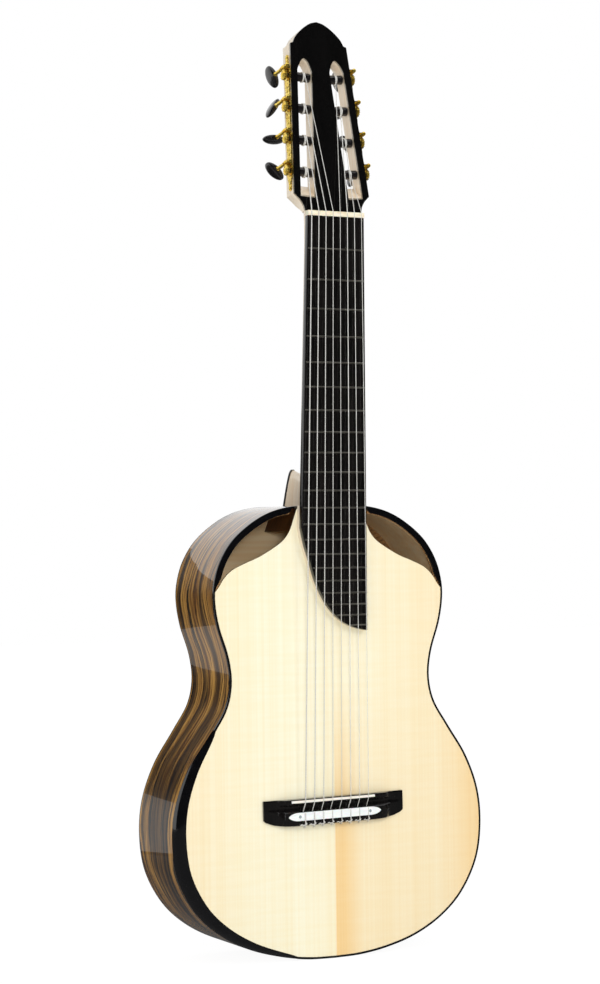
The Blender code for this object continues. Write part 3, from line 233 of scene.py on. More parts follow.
def add_node(tree, kind, settings=None, inputs=None, stops=()):
    """Adds a node: sets its properties and ramp stops, and gives each input a value or a link.

    A link comes from a socket, or from a node's first output.
    """
    new = tree.nodes.new(kind)
    for name, value in (settings or {}).items():
        setattr(new, name, value)
    for name, value in (inputs or {}).items():
        socket = new.inputs[name]
        value = value.outputs[0] if isinstance(value, bpy.types.Node) else value
        if isinstance(value, bpy.types.NodeSocket):
            tree.links.new(value, socket)
        else:
            socket.default_value = value
    for k, (position, colour) in enumerate(stops):
        elements = new.color_ramp.elements
        element = elements[k] if k < len(elements) else elements.new(position)
        element.position, element.color = position, linear(colour)
    return new


def start_material(name, grained=False, **values):
    """A fresh material, its tree and shader, and the coordinates that its figure follows.

    These are the object's own or, where it is grained, the piece's grain attribute: X along the
    grain and Y across it, in metres. The values go to the shader's own sockets.
    """
    material = bpy.data.materials.new(name)
    material.use_nodes = True
    tree = material.node_tree
    tree.nodes.clear()
    shader = add_node(tree, "ShaderNodeBsdfPrincipled",
                      inputs={key.replace("_", " "): value for key, value in values.items()})
    add_node(tree, "ShaderNodeOutputMaterial", inputs={"Surface": shader})
    if grained:
        place = add_node(tree, "ShaderNodeAttribute", {"attribute_name": "grain"}).outputs["Vector"]
    else:
        place = add_node(tree, "ShaderNodeTexCoord").outputs["Object"]
    return material, tree, shader, place


def figure(tree, place, scale, detail=2.0, roughness=0.5, shift=(0.0, 0.0, 0.0), distortion=0.0):
    """The level of a cloudy figure, drawn out along the axis that has the smallest scale."""
    drawn = add_node(tree, "ShaderNodeMapping",
                     inputs={"Vector": place, "Scale": scale, "Location": shift})
    cloud = add_node(tree, "ShaderNodeTexNoise",
                     inputs={"Vector": drawn, "Scale": 1.0, "Detail": detail,
                             "Roughness": roughness, "Distortion": distortion})
    return cloud.outputs["Fac"]


def layered(tree, level, stops, under=None, weight=1.0, way="MULTIPLY"):
    """A level's colours, by (level, hex colour) stops, laid over the colour that is under them."""
    colour = add_node(tree, "ShaderNodeValToRGB", inputs={"Fac": level}, stops=stops).outputs["Color"]
    if under is None:
        return colour
    return add_node(tree, "ShaderNodeMix", {"data_type": "RGBA", "blend_type": way},
                    {0: weight, 6: under, 7: colour}).outputs[2]


def coloured(tree, shader, colour, height=None, distance=0.0, strength=1.0):
    """Gives the shader its colour and, where there is a height, a surface that follows it."""
    tree.links.new(colour, shader.inputs["Base Color"])
    if height is not None:
        bump = add_node(tree, "ShaderNodeBump",
                        inputs={"Height": height, "Distance": distance, "Strength": strength})
        tree.links.new(bump.outputs[0], shader.inputs["Normal"])


def one_figure(name, scale, stops, distance, detail=2.0, distortion=0.0, grained=False, **values):
    """A material with one faint figure, raised by a distance in metres unless that is 0."""
    material, tree, shader, place = start_material(name, grained, **values)
    scale = scale if isinstance(scale, tuple) else (scale,) * 3
    level = figure(tree, place, scale, detail, distortion=distortion)
    coloured(tree, shader, layered(tree, level, stops), level if distance else None, distance)
    return material


def spruce_top(settings):
    """Spruce under clear lacquer: fine straight rings close to the seam and wider to the rims."""
    material, tree, shader, place = start_material(
        "lacquered spruce", Roughness=0.42, IOR=1.5, Coat_Weight=0.35, Coat_Roughness=0.12)
    edge, pale, tan = settings.spruce_edge, settings.spruce_pale, settings.spruce_tan
    parts = add_node(tree, "ShaderNodeSeparateXYZ", inputs={0: place})
    # The wood's tone over the width: pale on the bass half and, low down, tan just past the seam
    share = add_node(tree, "ShaderNodeMapRange", inputs={
        "Value": parts.outputs[0], "From Min": -LOWER_BOUT / 2, "From Max": LOWER_BOUT / 2})
    low_down = add_node(tree, "ShaderNodeMapRange", inputs={
        "Value": parts.outputs[2], "From Min": -0.52, "From Max": -0.68})
    bass_half = [(0.0, edge), (0.22, pale), (0.40, settings.spruce_palest)]
    plain = layered(tree, share, bass_half + [(0.60, pale), (0.85, edge), (1.0, tan)])
    toned = layered(tree, share,
                    bass_half + [(0.507, pale), (0.5075, tan), (0.54, tan), (0.60, edge), (0.85, edge),
                                 (1.0, tan)], plain, low_down, "MIX")
    # Rings: real ones are about 1 mm apart; these are 3 mm, as fine as the picture can hold
    rings = figure(tree, place, (330.0, 330.0, 1.2), 2.0, 0.6)
    bands = figure(tree, place, (85.0, 85.0, 0.8), shift=(3.1, 0.0, 0.0))
    silk = figure(tree, place, (14.0, 14.0, 190.0))
    for level, low, dark, high, weight in ((rings, 0.36, settings.spruce_ring, 0.62, 0.15),
                                           (bands, 0.35, "#F9EDD0", 0.62, 0.20),
                                           (silk, 0.40, "#FCF6E6", 0.60, 0.22)):
        toned = layered(tree, level, [(low, dark), (high, "#FFFFFF")], toned, weight)
    coloured(tree, shader, toned, rings, 0.00004)
    return material


def streaked_rosewood(settings):
    """Figured rosewood under thick polished lacquer: golden brown with black, wandering lines."""
    material, tree, shader, place = start_material(
        "polished rosewood", True, Roughness=0.35, IOR=1.5, Coat_Weight=1.0, Coat_Roughness=0.02)
    parts = add_node(tree, "ShaderNodeSeparateXYZ", inputs={0: place})
    # The whole figure wanders by up to 15 mm in slow waves, and by 2 mm in quick ones
    offset = -0.015
    for scale, reach in (((7.0, 12.0, 1.0), 0.030), ((60.0, 90.0, 1.0), 0.0035)):
        offset = add_node(tree, "ShaderNodeMath", {"operation": "MULTIPLY_ADD"},
                          {0: figure(tree, place, scale), 1: reach, 2: offset}).outputs[0]
    across = add_node(tree, "ShaderNodeMath", {"operation": "ADD"}, {0: parts.outputs[1], 1: offset})
    bent = add_node(tree, "ShaderNodeCombineXYZ", inputs={0: parts.outputs[0], 1: across})
    gold, brown = settings.rosewood_gold, settings.rosewood_brown
    toned = layered(tree, figure(tree, bent, (2.6, 80.0, 1.0), 3.0, 0.6),
                    [(0.32, settings.rosewood_dark), (0.42, brown), (0.50, gold), (0.57, brown),
                     (0.66, gold)])
    threads = figure(tree, bent, (6.0, 380.0, 1.0), 3.0, 0.65)
    lines = figure(tree, bent, (6.0, 190.0, 1.0), 5.0, 0.72, (7.0, 2.0, 0.0))
    zones = figure(tree, bent, (1.6, 34.0, 1.0), shift=(1.0, 5.0, 0.0))
    for level, low, dark, high, weight in ((threads, 0.38, "#5A4024", 0.54, 0.65),
                                           (lines, 0.44, settings.rosewood_ink, 0.475, 0.97),
                                           (zones, 0.43, "#33261A", 0.52, 0.80)):
        toned = layered(tree, level, [(low, dark), (high, "#FFFFFF")], toned, weight)
    coloured(tree, shader, toned)
    return material


def plain_wood(name, broad, fine, distance, **values):
    """A wood with two figures, each (scale, detail, roughness, stops); the fine one is raised."""
    material, tree, shader, place = start_material(name, IOR=1.5, **values)
    scale, detail, roughness, stops = broad
    toned = layered(tree, figure(tree, place, scale, detail, roughness), stops)
    scale, detail, roughness, stops = fine
    level = figure(tree, place, scale, detail, roughness)
    coloured(tree, shader, layered(tree, level, stops, toned, 0.5, "MIX"), level, distance)
    return material


def pale_wood(name, light, dark, direction, roughness=0.4, coat=0.25):
    """Plain close-grained wood with soft straight figure along one direction of the object."""
    order = {"X": (0, 1, 1), "Z": (1, 1, 0)}[direction]
    wide, fine = [tuple(scale[k] for k in order) for scale in ((1.5, 60.0), (3.0, 260.0))]
    return plain_wood(name, (wide, 2.0, 0.5, [(0.32, dark), (0.62, light)]),
                      (fine, 3.0, 0.6, [(0.35, dark), (0.60, light)]), 0.00005,
                      Roughness=roughness, Coat_Weight=coat, Coat_Roughness=0.15)


def polished_ebony(name, tint, roughness=0.16, coat=0.6):
    """Ebony rubbed to a shine: nearly black, with short brown-grey pores along the grain."""
    return plain_wood(name, ((55.0, 55.0, 4.0), 3.0, 0.5, [(0.35, "#060606"), (0.70, tint)]),
                      ((700.0, 700.0, 45.0), 2.0, 0.6, [(0.40, "#050505"), (0.75, tint)]), 0.00002,
                      Roughness=roughness, Coat_Weight=coat, Coat_Roughness=0.05)


def black_lacquer(name):
    """Black lacquer over wood: deep, even and glassy, with the faint ripple that polishing leaves."""
    return one_figure(name, 60.0, [(0.3, "#050507"), (0.7, "#0A0A0D")], 0.00003,
                      Roughness=0.12, IOR=1.5, Coat_Weight=1.0, Coat_Roughness=0.02)


def polished_bone(name, light, dark):
    """Cattle bone, sanded and buffed: warm white with faint cloudy grain and a soft glow."""
    return one_figure(name, (90.0, 400.0, 400.0), [(0.35, dark), (0.62, light)], 0.00002, 3.0,
                      Roughness=0.30, IOR=1.54, Subsurface_Weight=0.12, Subsurface_Scale=0.002)


def gold_plate(name, relief):
    """Gold-plated brass: deep yellow metal; stamped scrolls, with painted shade in their low places."""
    material, tree, shader, place = start_material(name, Metallic=0.95, Roughness=0.22)
    base = layered(tree, figure(tree, place, (260.0, 260.0, 260.0), 3.0, 0.6),
                   [(0.30, "#F5C438"), (0.60, "#FFE678")])
    if not relief:
        coloured(tree, shader, base)
        return material
    scroll = add_node(tree, "ShaderNodeTexVoronoi", {"feature": "SMOOTH_F1"},
                      {"Vector": place, "Scale": 420.0, "Smoothness": 0.4})
    leaf = add_node(tree, "ShaderNodeTexWave", {"wave_type": "RINGS"},
                    {"Vector": place, "Scale": 110.0, "Distortion": 9.0, "Detail": 2.0,
                     "Detail Scale": 2.5})
    pattern = add_node(tree, "ShaderNodeMath", {"operation": "MULTIPLY"},
                       {0: scroll.outputs["Distance"], 1: leaf.outputs["Fac"]}).outputs[0]
    # Painted shade: the relief's low places are coloured dark brown
    shaded_low_places = add_node(tree, "ShaderNodeMix", {"data_type": "RGBA"},
                     {0: layered(tree, pattern, [(0.02, "#FFFFFF"), (0.10, "#000000")]),
                      6: base, 7: linear("#6E4A12")})
    coloured(tree, shader, shaded_low_places.outputs[2], pattern, 0.0003, 0.4)
    return material


def nickel_silver(name, colour):
    """Hard drawn nickel silver: grey metal with fine polishing marks along it."""
    return one_figure(name, (40.0, 900.0, 900.0), [(0.35, "#6A675F"), (0.62, colour)], 0.00002,
                      Metallic=0.9, Roughness=0.30)


def silvered_winding(name, colour):
    """Silvered copper wire wound round a core: soft bright grey, with a ridge for each turn."""
    # Real winding is about 0.2 mm a turn; it is drawn at 0.6 mm, as fine as the picture can hold
    return one_figure(name, (1600.0, 4.0, 4.0), [(0.35, "#C4C1B9"), (0.62, colour)], 0.00006,
                      grained=True, Metallic=0.2, Roughness=0.45)


def clear_nylon():
    """Extruded clear nylon: smooth, glassy and a little milky."""
    return one_figure("clear nylon", (60.0, 1.0, 1.0), [(0.3, "#F0EEE6"), (0.7, "#FFFFFC")], 0.0,
                      grained=True, Roughness=0.15, IOR=1.53, Transmission_Weight=0.35)


def moulded_black(name, roughness):
    """Cast black resin, tumbled smooth: even black with a soft shine and a trace of flow marks."""
    return one_figure(name, 320.0, [(0.3, "#0A090A"), (0.7, "#1B1718")], 0.00004, 3.0, 0.6,
                      Roughness=roughness, IOR=1.52, Coat_Weight=0.5, Coat_Roughness=0.08)


def loft(rings, wrap=False):
    """A mesh through rings of equal length, capped at both ends unless it wraps round."""
    shell = bmesh.new()
    rows = [[shell.verts.new(point) for point in ring] for ring in rings]
    pairs = list(zip(rows, rows[1:]))
    if wrap:
        pairs.append((rows[-1], rows[0]))
    count = len(rows[0])
    for row, following in pairs:
        for i in range(count):
            j = (i + 1) % count
            shell.faces.new((row[i], row[j], following[j], following[i]))
    if not wrap:
        shell.faces.new(rows[0])
        shell.faces.new(rows[-1])
    return settled(shell)


def settled(shell):
    """The shell as a mesh whose faces all point outwards."""
    bmesh.ops.recalc_face_normals(shell, faces=shell.faces)
    return as_mesh(shell)


def as_mesh(shell):
    mesh = bpy.data.meshes.new("piece")
    shell.to_mesh(mesh)
    shell.free()
    return mesh


def prism(plan, near, far):
    """Extrudes plan points (x, z) from depth near to depth far, each a number or a function of z."""
    def depth(level, z):
        return level(z) if callable(level) else level
    return loft([[(x, depth(level, z), z) for x, z in plan] for level in (near, far)])


def rectangle(x, z):
    """A rectangle's corners round the origin, from its half sides."""
    return [(-x, -z), (x, -z), (x, z), (-x, z)]


def axis_point(axis, along, radius, angle):
    across, up = radius * math.sin(angle), radius * math.cos(angle)
    if axis == "X":
        return Vector((along, across, up))
    return Vector((across, along, up))


def turned(profile, sides, axis):
    """Turns (distance along the axis, radius) pairs round X or Y; a radius of zero closes to a point."""
    shell = bmesh.new()
    rows = []
    for along, radius in profile:
        angles = [2 * math.pi * i / sides for i in range(sides)] if radius else [0.0]
        rows.append([shell.verts.new(axis_point(axis, along, radius, angle)) for angle in angles])
    for row, following in zip(rows, rows[1:]):
        for i in range(sides):
            j = (i + 1) % sides
            corners = [row[i % len(row)], row[j % len(row)],
                       following[j % len(following)], following[i % len(following)]]
            shell.faces.new(list(dict.fromkeys(corners)))
    for row in (rows[0], rows[-1]):
        if len(row) > 1:
            shell.faces.new(row)
    return settled(shell)


def joined(meshes):
    """Several shells in one mesh."""
    shell = bmesh.new()
    for mesh in meshes:
        shell.from_mesh(mesh)
    return as_mesh(shell)


def flat(faces):
    """A mesh of flat faces, each a list of corners."""
    shell = bmesh.new()
    for corners in faces:
        shell.faces.new([shell.verts.new(corner) for corner in corners])
    return settled(shell)


def put(name, data):
    """Puts a mesh, lamp or camera into the scene as an object at the origin."""
    new = bpy.data.objects.new(name, data)
    bpy.context.collection.objects.link(new)
    return new


def moved(mesh, matrix):
    mesh.transform(matrix)
    return mesh


def at(x, y, z):
    return Matrix.Translation((x, y, z))


def clamped(value):
    return min(max(value, 0.0), 1.0)


def smooth_step(share):
    return share * share * (3 - 2 * share)


def mirrored(points, middle=()):
    """The points and, on the way back, their images across X = 0."""
    return [*points, *middle, *((-x, *rest) for x, *rest in reversed(points))]


def tube(points, radius, sides=10):
    """A capped tube through points, with a grain attribute along its length."""
    directions = [(b - a).normalized() for a, b in zip(points, points[1:])]
    tangents = [directions[0]] + [(a + b).normalized() for a, b in zip(directions, directions[1:])]
    tangents.append(directions[-1])
    normal = tangents[0].orthogonal().normalized()
    rings, lengths, run = [], [], 0.0
    for i, (point, tangent) in enumerate(zip(points, tangents)):
        if i:
            run += (point - points[i - 1]).length
            normal = (tangents[i - 1].rotation_difference(tangent) @ normal).normalized()
        normal = (normal - tangent * normal.dot(tangent)).normalized()
        other = tangent.cross(normal)
        angles = [2 * math.pi * k / sides for k in range(sides)]
        rings.append([point + (normal * math.cos(a) + other * math.sin(a)) * radius for a in angles])
        lengths += [(run, 0.0)] * sides
    return add_grain(loft(rings), lengths)


def reshaped(mesh, *steps):
    """The mesh after modifiers, each given as its kind and its settings or group inputs."""
    holder = put("holder", mesh)
    for kind, settings in steps:
        modifier = holder.modifiers.new(kind.title(), kind)
        for key, value in settings.items():
            if key.startswith("Socket_"):
                modifier[key] = value
            else:
                setattr(modifier, key, value)
    bpy.context.view_layer.update()
    seen = holder.evaluated_get(bpy.context.evaluated_depsgraph_get())
    result = bpy.data.meshes.new_from_object(seen)
    bpy.data.objects.remove(holder, do_unlink=True)
    return result


def cut(mesh, tool, operation="DIFFERENCE"):
    """The mesh less another, joined to it, or what the two share."""
    holder = put("tool", tool)
    result = reshaped(mesh, ("BOOLEAN", {"operation": operation, "solver": "EXACT", "object": holder}))
    bpy.data.objects.remove(holder, do_unlink=True)
    return result


def eased(mesh, width, segments=2, angle=30.0):
    """The mesh with its sharp edges rounded over."""
    return reshaped(mesh, ("BEVEL", {"width": width, "segments": segments, "limit_method": "ANGLE",
                                     "angle_limit": math.radians(angle)}))


def add_grain(mesh, places):
    """Stores each point's place (along, across) in metres, so that the figure follows the grain."""
    attribute = mesh.attributes.new("grain", "FLOAT_VECTOR", "POINT")
    for k, (along, across) in enumerate(places):
        attribute.data[k].vector = (along, across, 0.0)
    return mesh


def show(name, mesh, materials, body=BODY, stands_for=(), angle=35.0):
    """Adds a finished mesh as a piece that rides on a body and stands for CAD nodes."""
    mesh.name = name
    materials = materials if isinstance(materials, (list, tuple)) else [materials]
    while len(mesh.materials) < len(materials):
        mesh.materials.append(None)
    for k, material in enumerate(materials):
        mesh.materials[k] = material
    mesh.shade_smooth()
    mesh.set_sharp_from_angle(angle=math.radians(angle))
    # Broad flat faces mirror as flat ones; only the narrow faces between them are rounded
    for face in mesh.polygons:
        if face.loop_total > 6:
            face.use_smooth = False
    piece = put(name, mesh)
    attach(piece, body)
    if stands_for:
        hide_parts(*stands_for)


def recolour(node, material):
    """Gives a CAD node that keeps its shape a better finish."""
    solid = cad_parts[node]
    solid.data.materials.clear()
    solid.data.materials.append(material)


def grown(mesh, name, settings, build):
    """The mesh after a node tree; build(tree, sockets) returns the tree's last geometry."""
    tree = bpy.data.node_groups.new(name, "GeometryNodeTree")
    tree.interface.new_socket("Geometry", in_out="INPUT", socket_type="NodeSocketGeometry")
    tree.interface.new_socket("Geometry", in_out="OUTPUT", socket_type="NodeSocketGeometry")
    kinds = {int: "NodeSocketInt", float: "NodeSocketFloat"}
    for label, value in settings.items():
        kind = kinds.get(type(value), "NodeSocketMaterial")
        tree.interface.new_socket(label, in_out="INPUT", socket_type=kind)
    entry = add_node(tree, "NodeGroupInput")
    result = build(tree, entry.outputs)
    finished = add_node(tree, "GeometryNodeRealizeInstances", inputs={0: result})
    painted = add_node(tree, "GeometryNodeSetMaterial",
                       inputs={0: finished, "Material": entry.outputs["Material"]})
    add_node(tree, "NodeGroupOutput", inputs={0: painted})
    given = {item.identifier: settings[item.name] for item in tree.interface.items_tree
             if item.in_out == "INPUT" and item.name in settings}
    made = reshaped(mesh, ("NODES", {"node_group": tree, **given}))
    bpy.data.node_groups.remove(tree)
    return made


def wires(points, edges=()):
    """Bare points, and edges between them, for a node tree to grow pieces on."""
    mesh = bpy.data.meshes.new("wires")
    mesh.from_pydata([tuple(point) for point in points], edges, [])
    return mesh


def smooth_through(points, steps_between):
    """Points on a smooth open curve (centripetal Catmull-Rom) through the given ones."""
    points = [Vector(point) for point in points]
    spread = [points[0] * 2 - points[1]] + points + [points[-1] * 2 - points[-2]]
    curve = []
    for p0, p1, p2, p3 in zip(spread, spread[1:], spread[2:], spread[3:]):
        t1 = math.sqrt((p1 - p0).length)
        t2 = t1 + math.sqrt((p2 - p1).length)
        t3 = t2 + math.sqrt((p3 - p2).length)
        for i in range(steps_between):
            t = t1 + (t2 - t1) * i / steps_between
            a1 = p0.lerp(p1, t / t1)
            a2 = p1.lerp(p2, (t - t1) / (t2 - t1))
            a3 = p2.lerp(p3, (t - t2) / (t3 - t2))
            b1 = a1.lerp(a2, t / t2)
            b2 = a2.lerp(a3, (t - t1) / (t3 - t1))
            curve.append(b1.lerp(b2, (t - t1) / (t2 - t1)))
    curve.append(points[-1].copy())
    return curve


def evenly(curve, count):
    """The curve again with count equal steps."""
    lengths = [0.0]
    for a, b in zip(curve, curve[1:]):
        lengths.append(lengths[-1] + (b - a).length)
    result = []
    k = 0
    for i in range(count + 1):
        target = lengths[-1] * i / count
        while k < len(curve) - 2 and lengths[k + 1] < target:
            k += 1
        span = lengths[k + 1] - lengths[k]
        result.append(curve[k].lerp(curve[k + 1], (target - lengths[k]) / span))
    return result


def body_outline(steps):
    """Outline points with their inward normals, once round from the neck joint, treble side first."""
    upper, waist, lower = UPPER_BOUT / 2, WAIST / 2, LOWER_BOUT / 2
    shares = [
        (upper, 0.0, 0.0), (upper, 0.21, 0.0), (upper, 0.36, 0.003), (upper, 0.53, 0.016),
        (upper, 0.69, 0.041), (upper, 0.845, 0.079), (upper, 0.948, 0.126), (upper, 0.995, 0.174),
        (upper, 1.0, 0.209), (upper, 0.97, 0.261), (waist, 1.025, 0.332), (waist, 1.0, 0.385),
        (waist, 1.044, 0.438), (lower, 0.778, 0.496), (lower, 0.903, 0.569), (lower, 0.982, 0.648),
        (lower, 1.0, 0.727), (lower, 0.966, 0.806), (lower, 0.856, 0.881), (lower, 0.715, 0.930),
        (lower, 0.538, 0.966), (lower, 0.339, 0.988), (lower, 0.157, 0.998), (lower, 0.0, 1.0)]
    points = [(half * share, JOIN - BODY_LENGTH * down) for half, share, down in shares]
    half = evenly(smooth_through(points, 24), steps // 2)
    points = half + [Vector((-p.x, p.y)) for p in half[-2:0:-1]]
    result = []
    for i, point in enumerate(points):
        along = (points[(i + 1) % steps] - points[i - 1]).normalized()
        result.append((point, Vector((along.y, -along.x))))
    return result


STEPS = COARSE_STEPS * FINE
HALF = STEPS // 2
OUTLINE = body_outline(STEPS)
STEP_LENGTH = (OUTLINE[1][0] - OUTLINE[0][0]).length


def find_armrest_steps():
    """The armrest runs on the bass side from just below the tail's middle up to the waist's end."""
    coarse = [point for point, _ in OUTLINE[::FINE]]
    bass = range(COARSE_STEPS // 2, COARSE_STEPS)
    near_tail = bass[:COARSE_STEPS // 8]
    first = min(near_tail, key=lambda i: abs(coarse[i].x + 0.23 * LOWER_BOUT / 2))
    last = min(bass, key=lambda i: abs(coarse[i].y - (JOIN - 0.490 * BODY_LENGTH)))
    return first * FINE, last * FINE


ARMREST_STEPS = find_armrest_steps()


def inset(i, distance):
    point, inward = OUTLINE[i % STEPS]
    moved_point = point + inward * distance
    return moved_point.x, moved_point.y


def back_level(z):
    """Depth of the back's edge below the soundboard's plane."""
    return DEPTH_AT_NECK + (DEPTH_AT_TAIL - DEPTH_AT_NECK) * (JOIN - z) / BODY_LENGTH


def armrest_share(i):
    """How much of its full size the armrest has at an outline step, from 0 to 1."""
    first, last = ARMREST_STEPS
    if i <= first or i >= last:
        return 0.0
    return math.sin(math.pi * (i - first) / (last - first)) ** ARMREST_SWELL


def edge_width(i):
    return BINDING_WIDTH + (ARMREST_WIDTH - BINDING_WIDTH) * armrest_share(i)


def edge_depth(i):
    return TOP_THICKNESS + (ARMREST_WIDTH - TOP_THICKNESS) * armrest_share(i)


def port_foot():
    return JOIN - PORT_FOOT_DROP


def rim_width(i):
    """The front binding widens to a rim along both sound ports."""
    point = OUTLINE[i % STEPS][0]
    above_foot = (point.y - port_foot()) / RIM_RUN_OUT
    beside_board = (abs(point.x) - board_half_width(JOIN) - RIM_BESIDE_BOARD) / RIM_BESIDE_BOARD
    share = clamped(min(above_foot, beside_board))
    return BINDING_WIDTH + (PORT_RIM_WIDTH - BINDING_WIDTH) * smooth_step(share)


def fret_z(n):
    return -SCALE_LENGTH * (1 - 2 ** (-n / 12))


def board_level(z):
    """Depth of the fingerboard's top, which leans forward towards the head."""
    return -(BOARD_HEIGHT_AT_JOIN + NECK_SLOPE * (z - FRET_12))


def board_under(z):
    return board_level(z) + BOARD_THICKNESS


def board_half_width(z):
    return (NUT_WIDTH + (BOARD_WIDTH_AT_JOIN - NUT_WIDTH) * z / FRET_12) / 2


def board_end_curve(steps_between=1):
    """The fingerboard's cut end, from its bass edge to its treble edge."""
    shares = [(-1.0, 0.160), (-0.90, 0.290), (-0.76, 0.413), (-0.57, 0.587), (-0.41, 0.688),
              (-0.22, 0.783), (0.03, 0.870), (0.35, 0.942), (0.70, 0.982), (1.0, 1.0)]
    end = fret_z(FRET_COUNT) - BOARD_BELOW_LAST_FRET
    half = board_half_width((FRET_12 + end) / 2)
    points = [(half * across, FRET_12 + (end - FRET_12) * down) for across, down in shares]
    return smooth_through(points, steps_between)


def board_cut_x(z):
    """Where the cut end crosses a height; above the cut this is the bass edge."""
    curve = board_end_curve(8)
    for a, b in zip(curve, curve[1:]):
        if b.y <= z <= a.y:
            return a.lerp(b, (z - a.y) / (b.y - a.y)).x
    return -board_half_width(z)


def board_plan(top):
    plan = [(board_half_width(top), top)]
    plan += [(p.x, p.y) for p in reversed(board_end_curve(8))]
    plan.append((-board_half_width(top), top))
    return plan


HEAD = (at(0.0, board_level(0.0) + HEAD_DROP, 0.0)
        @ Matrix.Rotation(-HEAD_TILT, 4, "X"))
SIDE_LEAN = math.atan((HEAD_SHOULDER_HALF_WIDTH - HEAD_CORNER_HALF_WIDTH)
                      / (HEAD_CORNER_HEIGHT - HEAD_SHOULDER_HEIGHT))
GEAR_CENTRE = PLATE_THICKNESS + GEAR_STANDOFF
WORM_ABOVE_ROLLER = GEAR_PITCH_RADIUS + WORM_PITCH_RADIUS
THREAD_LEAD = 2 * math.pi * GEAR_PITCH_RADIUS / GEAR_TEETH
LUG_START = THREAD_TURNS * THREAD_LEAD / 2 + THREAD_BASE + GAP
BRIDGE = at(0.0, 0.0, SADDLE) @ Matrix.Rotation(-BRIDGE_SLANT, 4, "Y")
TIE_BLOCK_END = TIE_BLOCK_START + TIE_BLOCK_LENGTH


def side_frame(side):
    """Frame on one flank of the head: Z up the flank, X square to it; side is 1 treble, -1 bass."""
    corner = at(side * HEAD_SHOULDER_HALF_WIDTH, 0.0, HEAD_SHOULDER_HEIGHT)
    return HEAD @ corner @ Matrix.Rotation(-side * SIDE_LEAN, 4, "Y")


def roller_height(k):
    return FIRST_ROLLER - HEAD_SHOULDER_HEIGHT + k * ROLLER_PITCH


def string_x(number, spread):
    return spread / 2 - spread * number / (len(STRING_DIAMETERS) - 1)


def string_level(number):
    return board_level(0.0) - FRET_HEIGHT - STRING_OVER_FRET - STRING_DIAMETERS[number] / 2


def strip(steps, section, depth_offset=0.0):
    """A strip along the outline; section(i) gives (inset, depth) pairs. Its grain runs along it."""
    rings, places = [], []
    for i in steps:
        ring = []
        for distance, depth in section(i):
            x, z = inset(i, distance)
            ring.append((x, depth, z))
            places.append((i * STEP_LENGTH, depth + depth_offset))
        rings.append(ring)
    return add_grain(loft(rings, wrap=len(steps) == STEPS), places)


class GuitarWoods(bpy.types.PropertyGroup):
    """Colours of the body's woods."""
    __annotations__ = {
        key: bpy.props.StringProperty(name=name, description=text + ", sRGB hex", default=colour)
        for key, name, text, colour in (
            ("spruce_palest", "Spruce, palest", "Soundboard's palest stripe", "#FFFBE2"),
            ("spruce_pale", "Spruce, pale", "Soundboard's main colour", "#FEF7DA"),
            ("spruce_edge", "Spruce, warm", "Soundboard's colour near its rims", "#FDEECA"),
            ("spruce_tan", "Spruce, tan", "Soundboard's stripe beside the seam", "#FBDBA2"),
            ("spruce_ring", "Spruce rings", "Colour that the rings multiply with", "#F0D9A8"),
            ("rosewood_dark", "Rosewood, dark", "Darkest broad streaks", "#2E1B08"),
            ("rosewood_brown", "Rosewood, brown", "Middle brown streaks", "#98662A"),
            ("rosewood_gold", "Rosewood, gold", "Golden streaks", "#DCA650"),
            ("rosewood_ink", "Rosewood lines", "Black wandering lines", "#0B0705"),
            ("neck_light", "Neck, light", "Neck wood's light figure", "#FFF3DF"),
            ("neck_dark", "Neck, dark", "Neck wood's dark figure", "#F5DEBE"),
            ("inside_light", "Inside, light", "Bare wood inside the body", "#FFE9C2"),
            ("inside_dark", "Inside, dark", "Bare wood's dark figure", "#F4D19C"))}


class GuitarFittings(bpy.types.PropertyGroup):
    """Sizes of the small parts that a maker would choose."""
    __annotations__ = {
        key: bpy.props.FloatProperty(name=name, description=text, default=value, unit=unit)
        for key, name, text, value, unit in (
            ("fret_width", "Fret width", "Width of the fret wire's crown", 0.0012, "LENGTH"),
            ("fret_height", "Fret height", "Height of the fret wire's crown", FRET_HEIGHT, "LENGTH"),
            ("kerf_pitch", "Lining block pitch", "Distance from one lining block to the next", 0.006,
             "LENGTH"),
            ("screw_radius", "Screw radius", "Radius of the machine plates' screw heads", 0.0021,
             "LENGTH"),
            ("winding_turns", "Turns on a roller", "How often a string goes round its roller", 2.5,
             "NONE"))}


class GuitarStage(bpy.types.PropertyGroup):
    """Light, floor and the grey and black cards that polished faces mirror."""
    __annotations__ = {
        key: bpy.props.FloatProperty(name=name, description=text, default=value, unit=unit)
        for key, name, text, value, unit in (
            ("key_power", "Key light", "Power of the lamp in front, to the right", 15.0, "POWER"),
            ("fill_power", "Fill light", "Power of the wide lamp in front, to the left", 9.0, "POWER"),
            ("front_power", "Front light", "Power of the small lamp that reaches into the ports", 13.0,
             "POWER"),
            ("sky", "Surroundings", "Strength of the even light from all round", 0.58, "NONE"),
            ("room", "Dark cards", "Strength of the black cards and the curtain in front", 0.02, "NONE"),
            ("floor_glow", "Floor's white", "Share of plain white in the floor as the camera sees it",
             0.88, "NONE"))}
    __annotations__["floor_colour"] = bpy.props.FloatVectorProperty(
        name="Floor", description="Colour of the floor", default=(0.93, 0.93, 0.93), size=3,
        subtype="COLOR")


def woods():
    return bpy.context.scene.guitar_woods


def fittings():
    return bpy.context.scene.guitar_fittings


class Builder:
    """What the guitar's operators share: each of them makes its own pieces."""

    def execute(self, context):
        self.make()
        return {"FINISHED"}


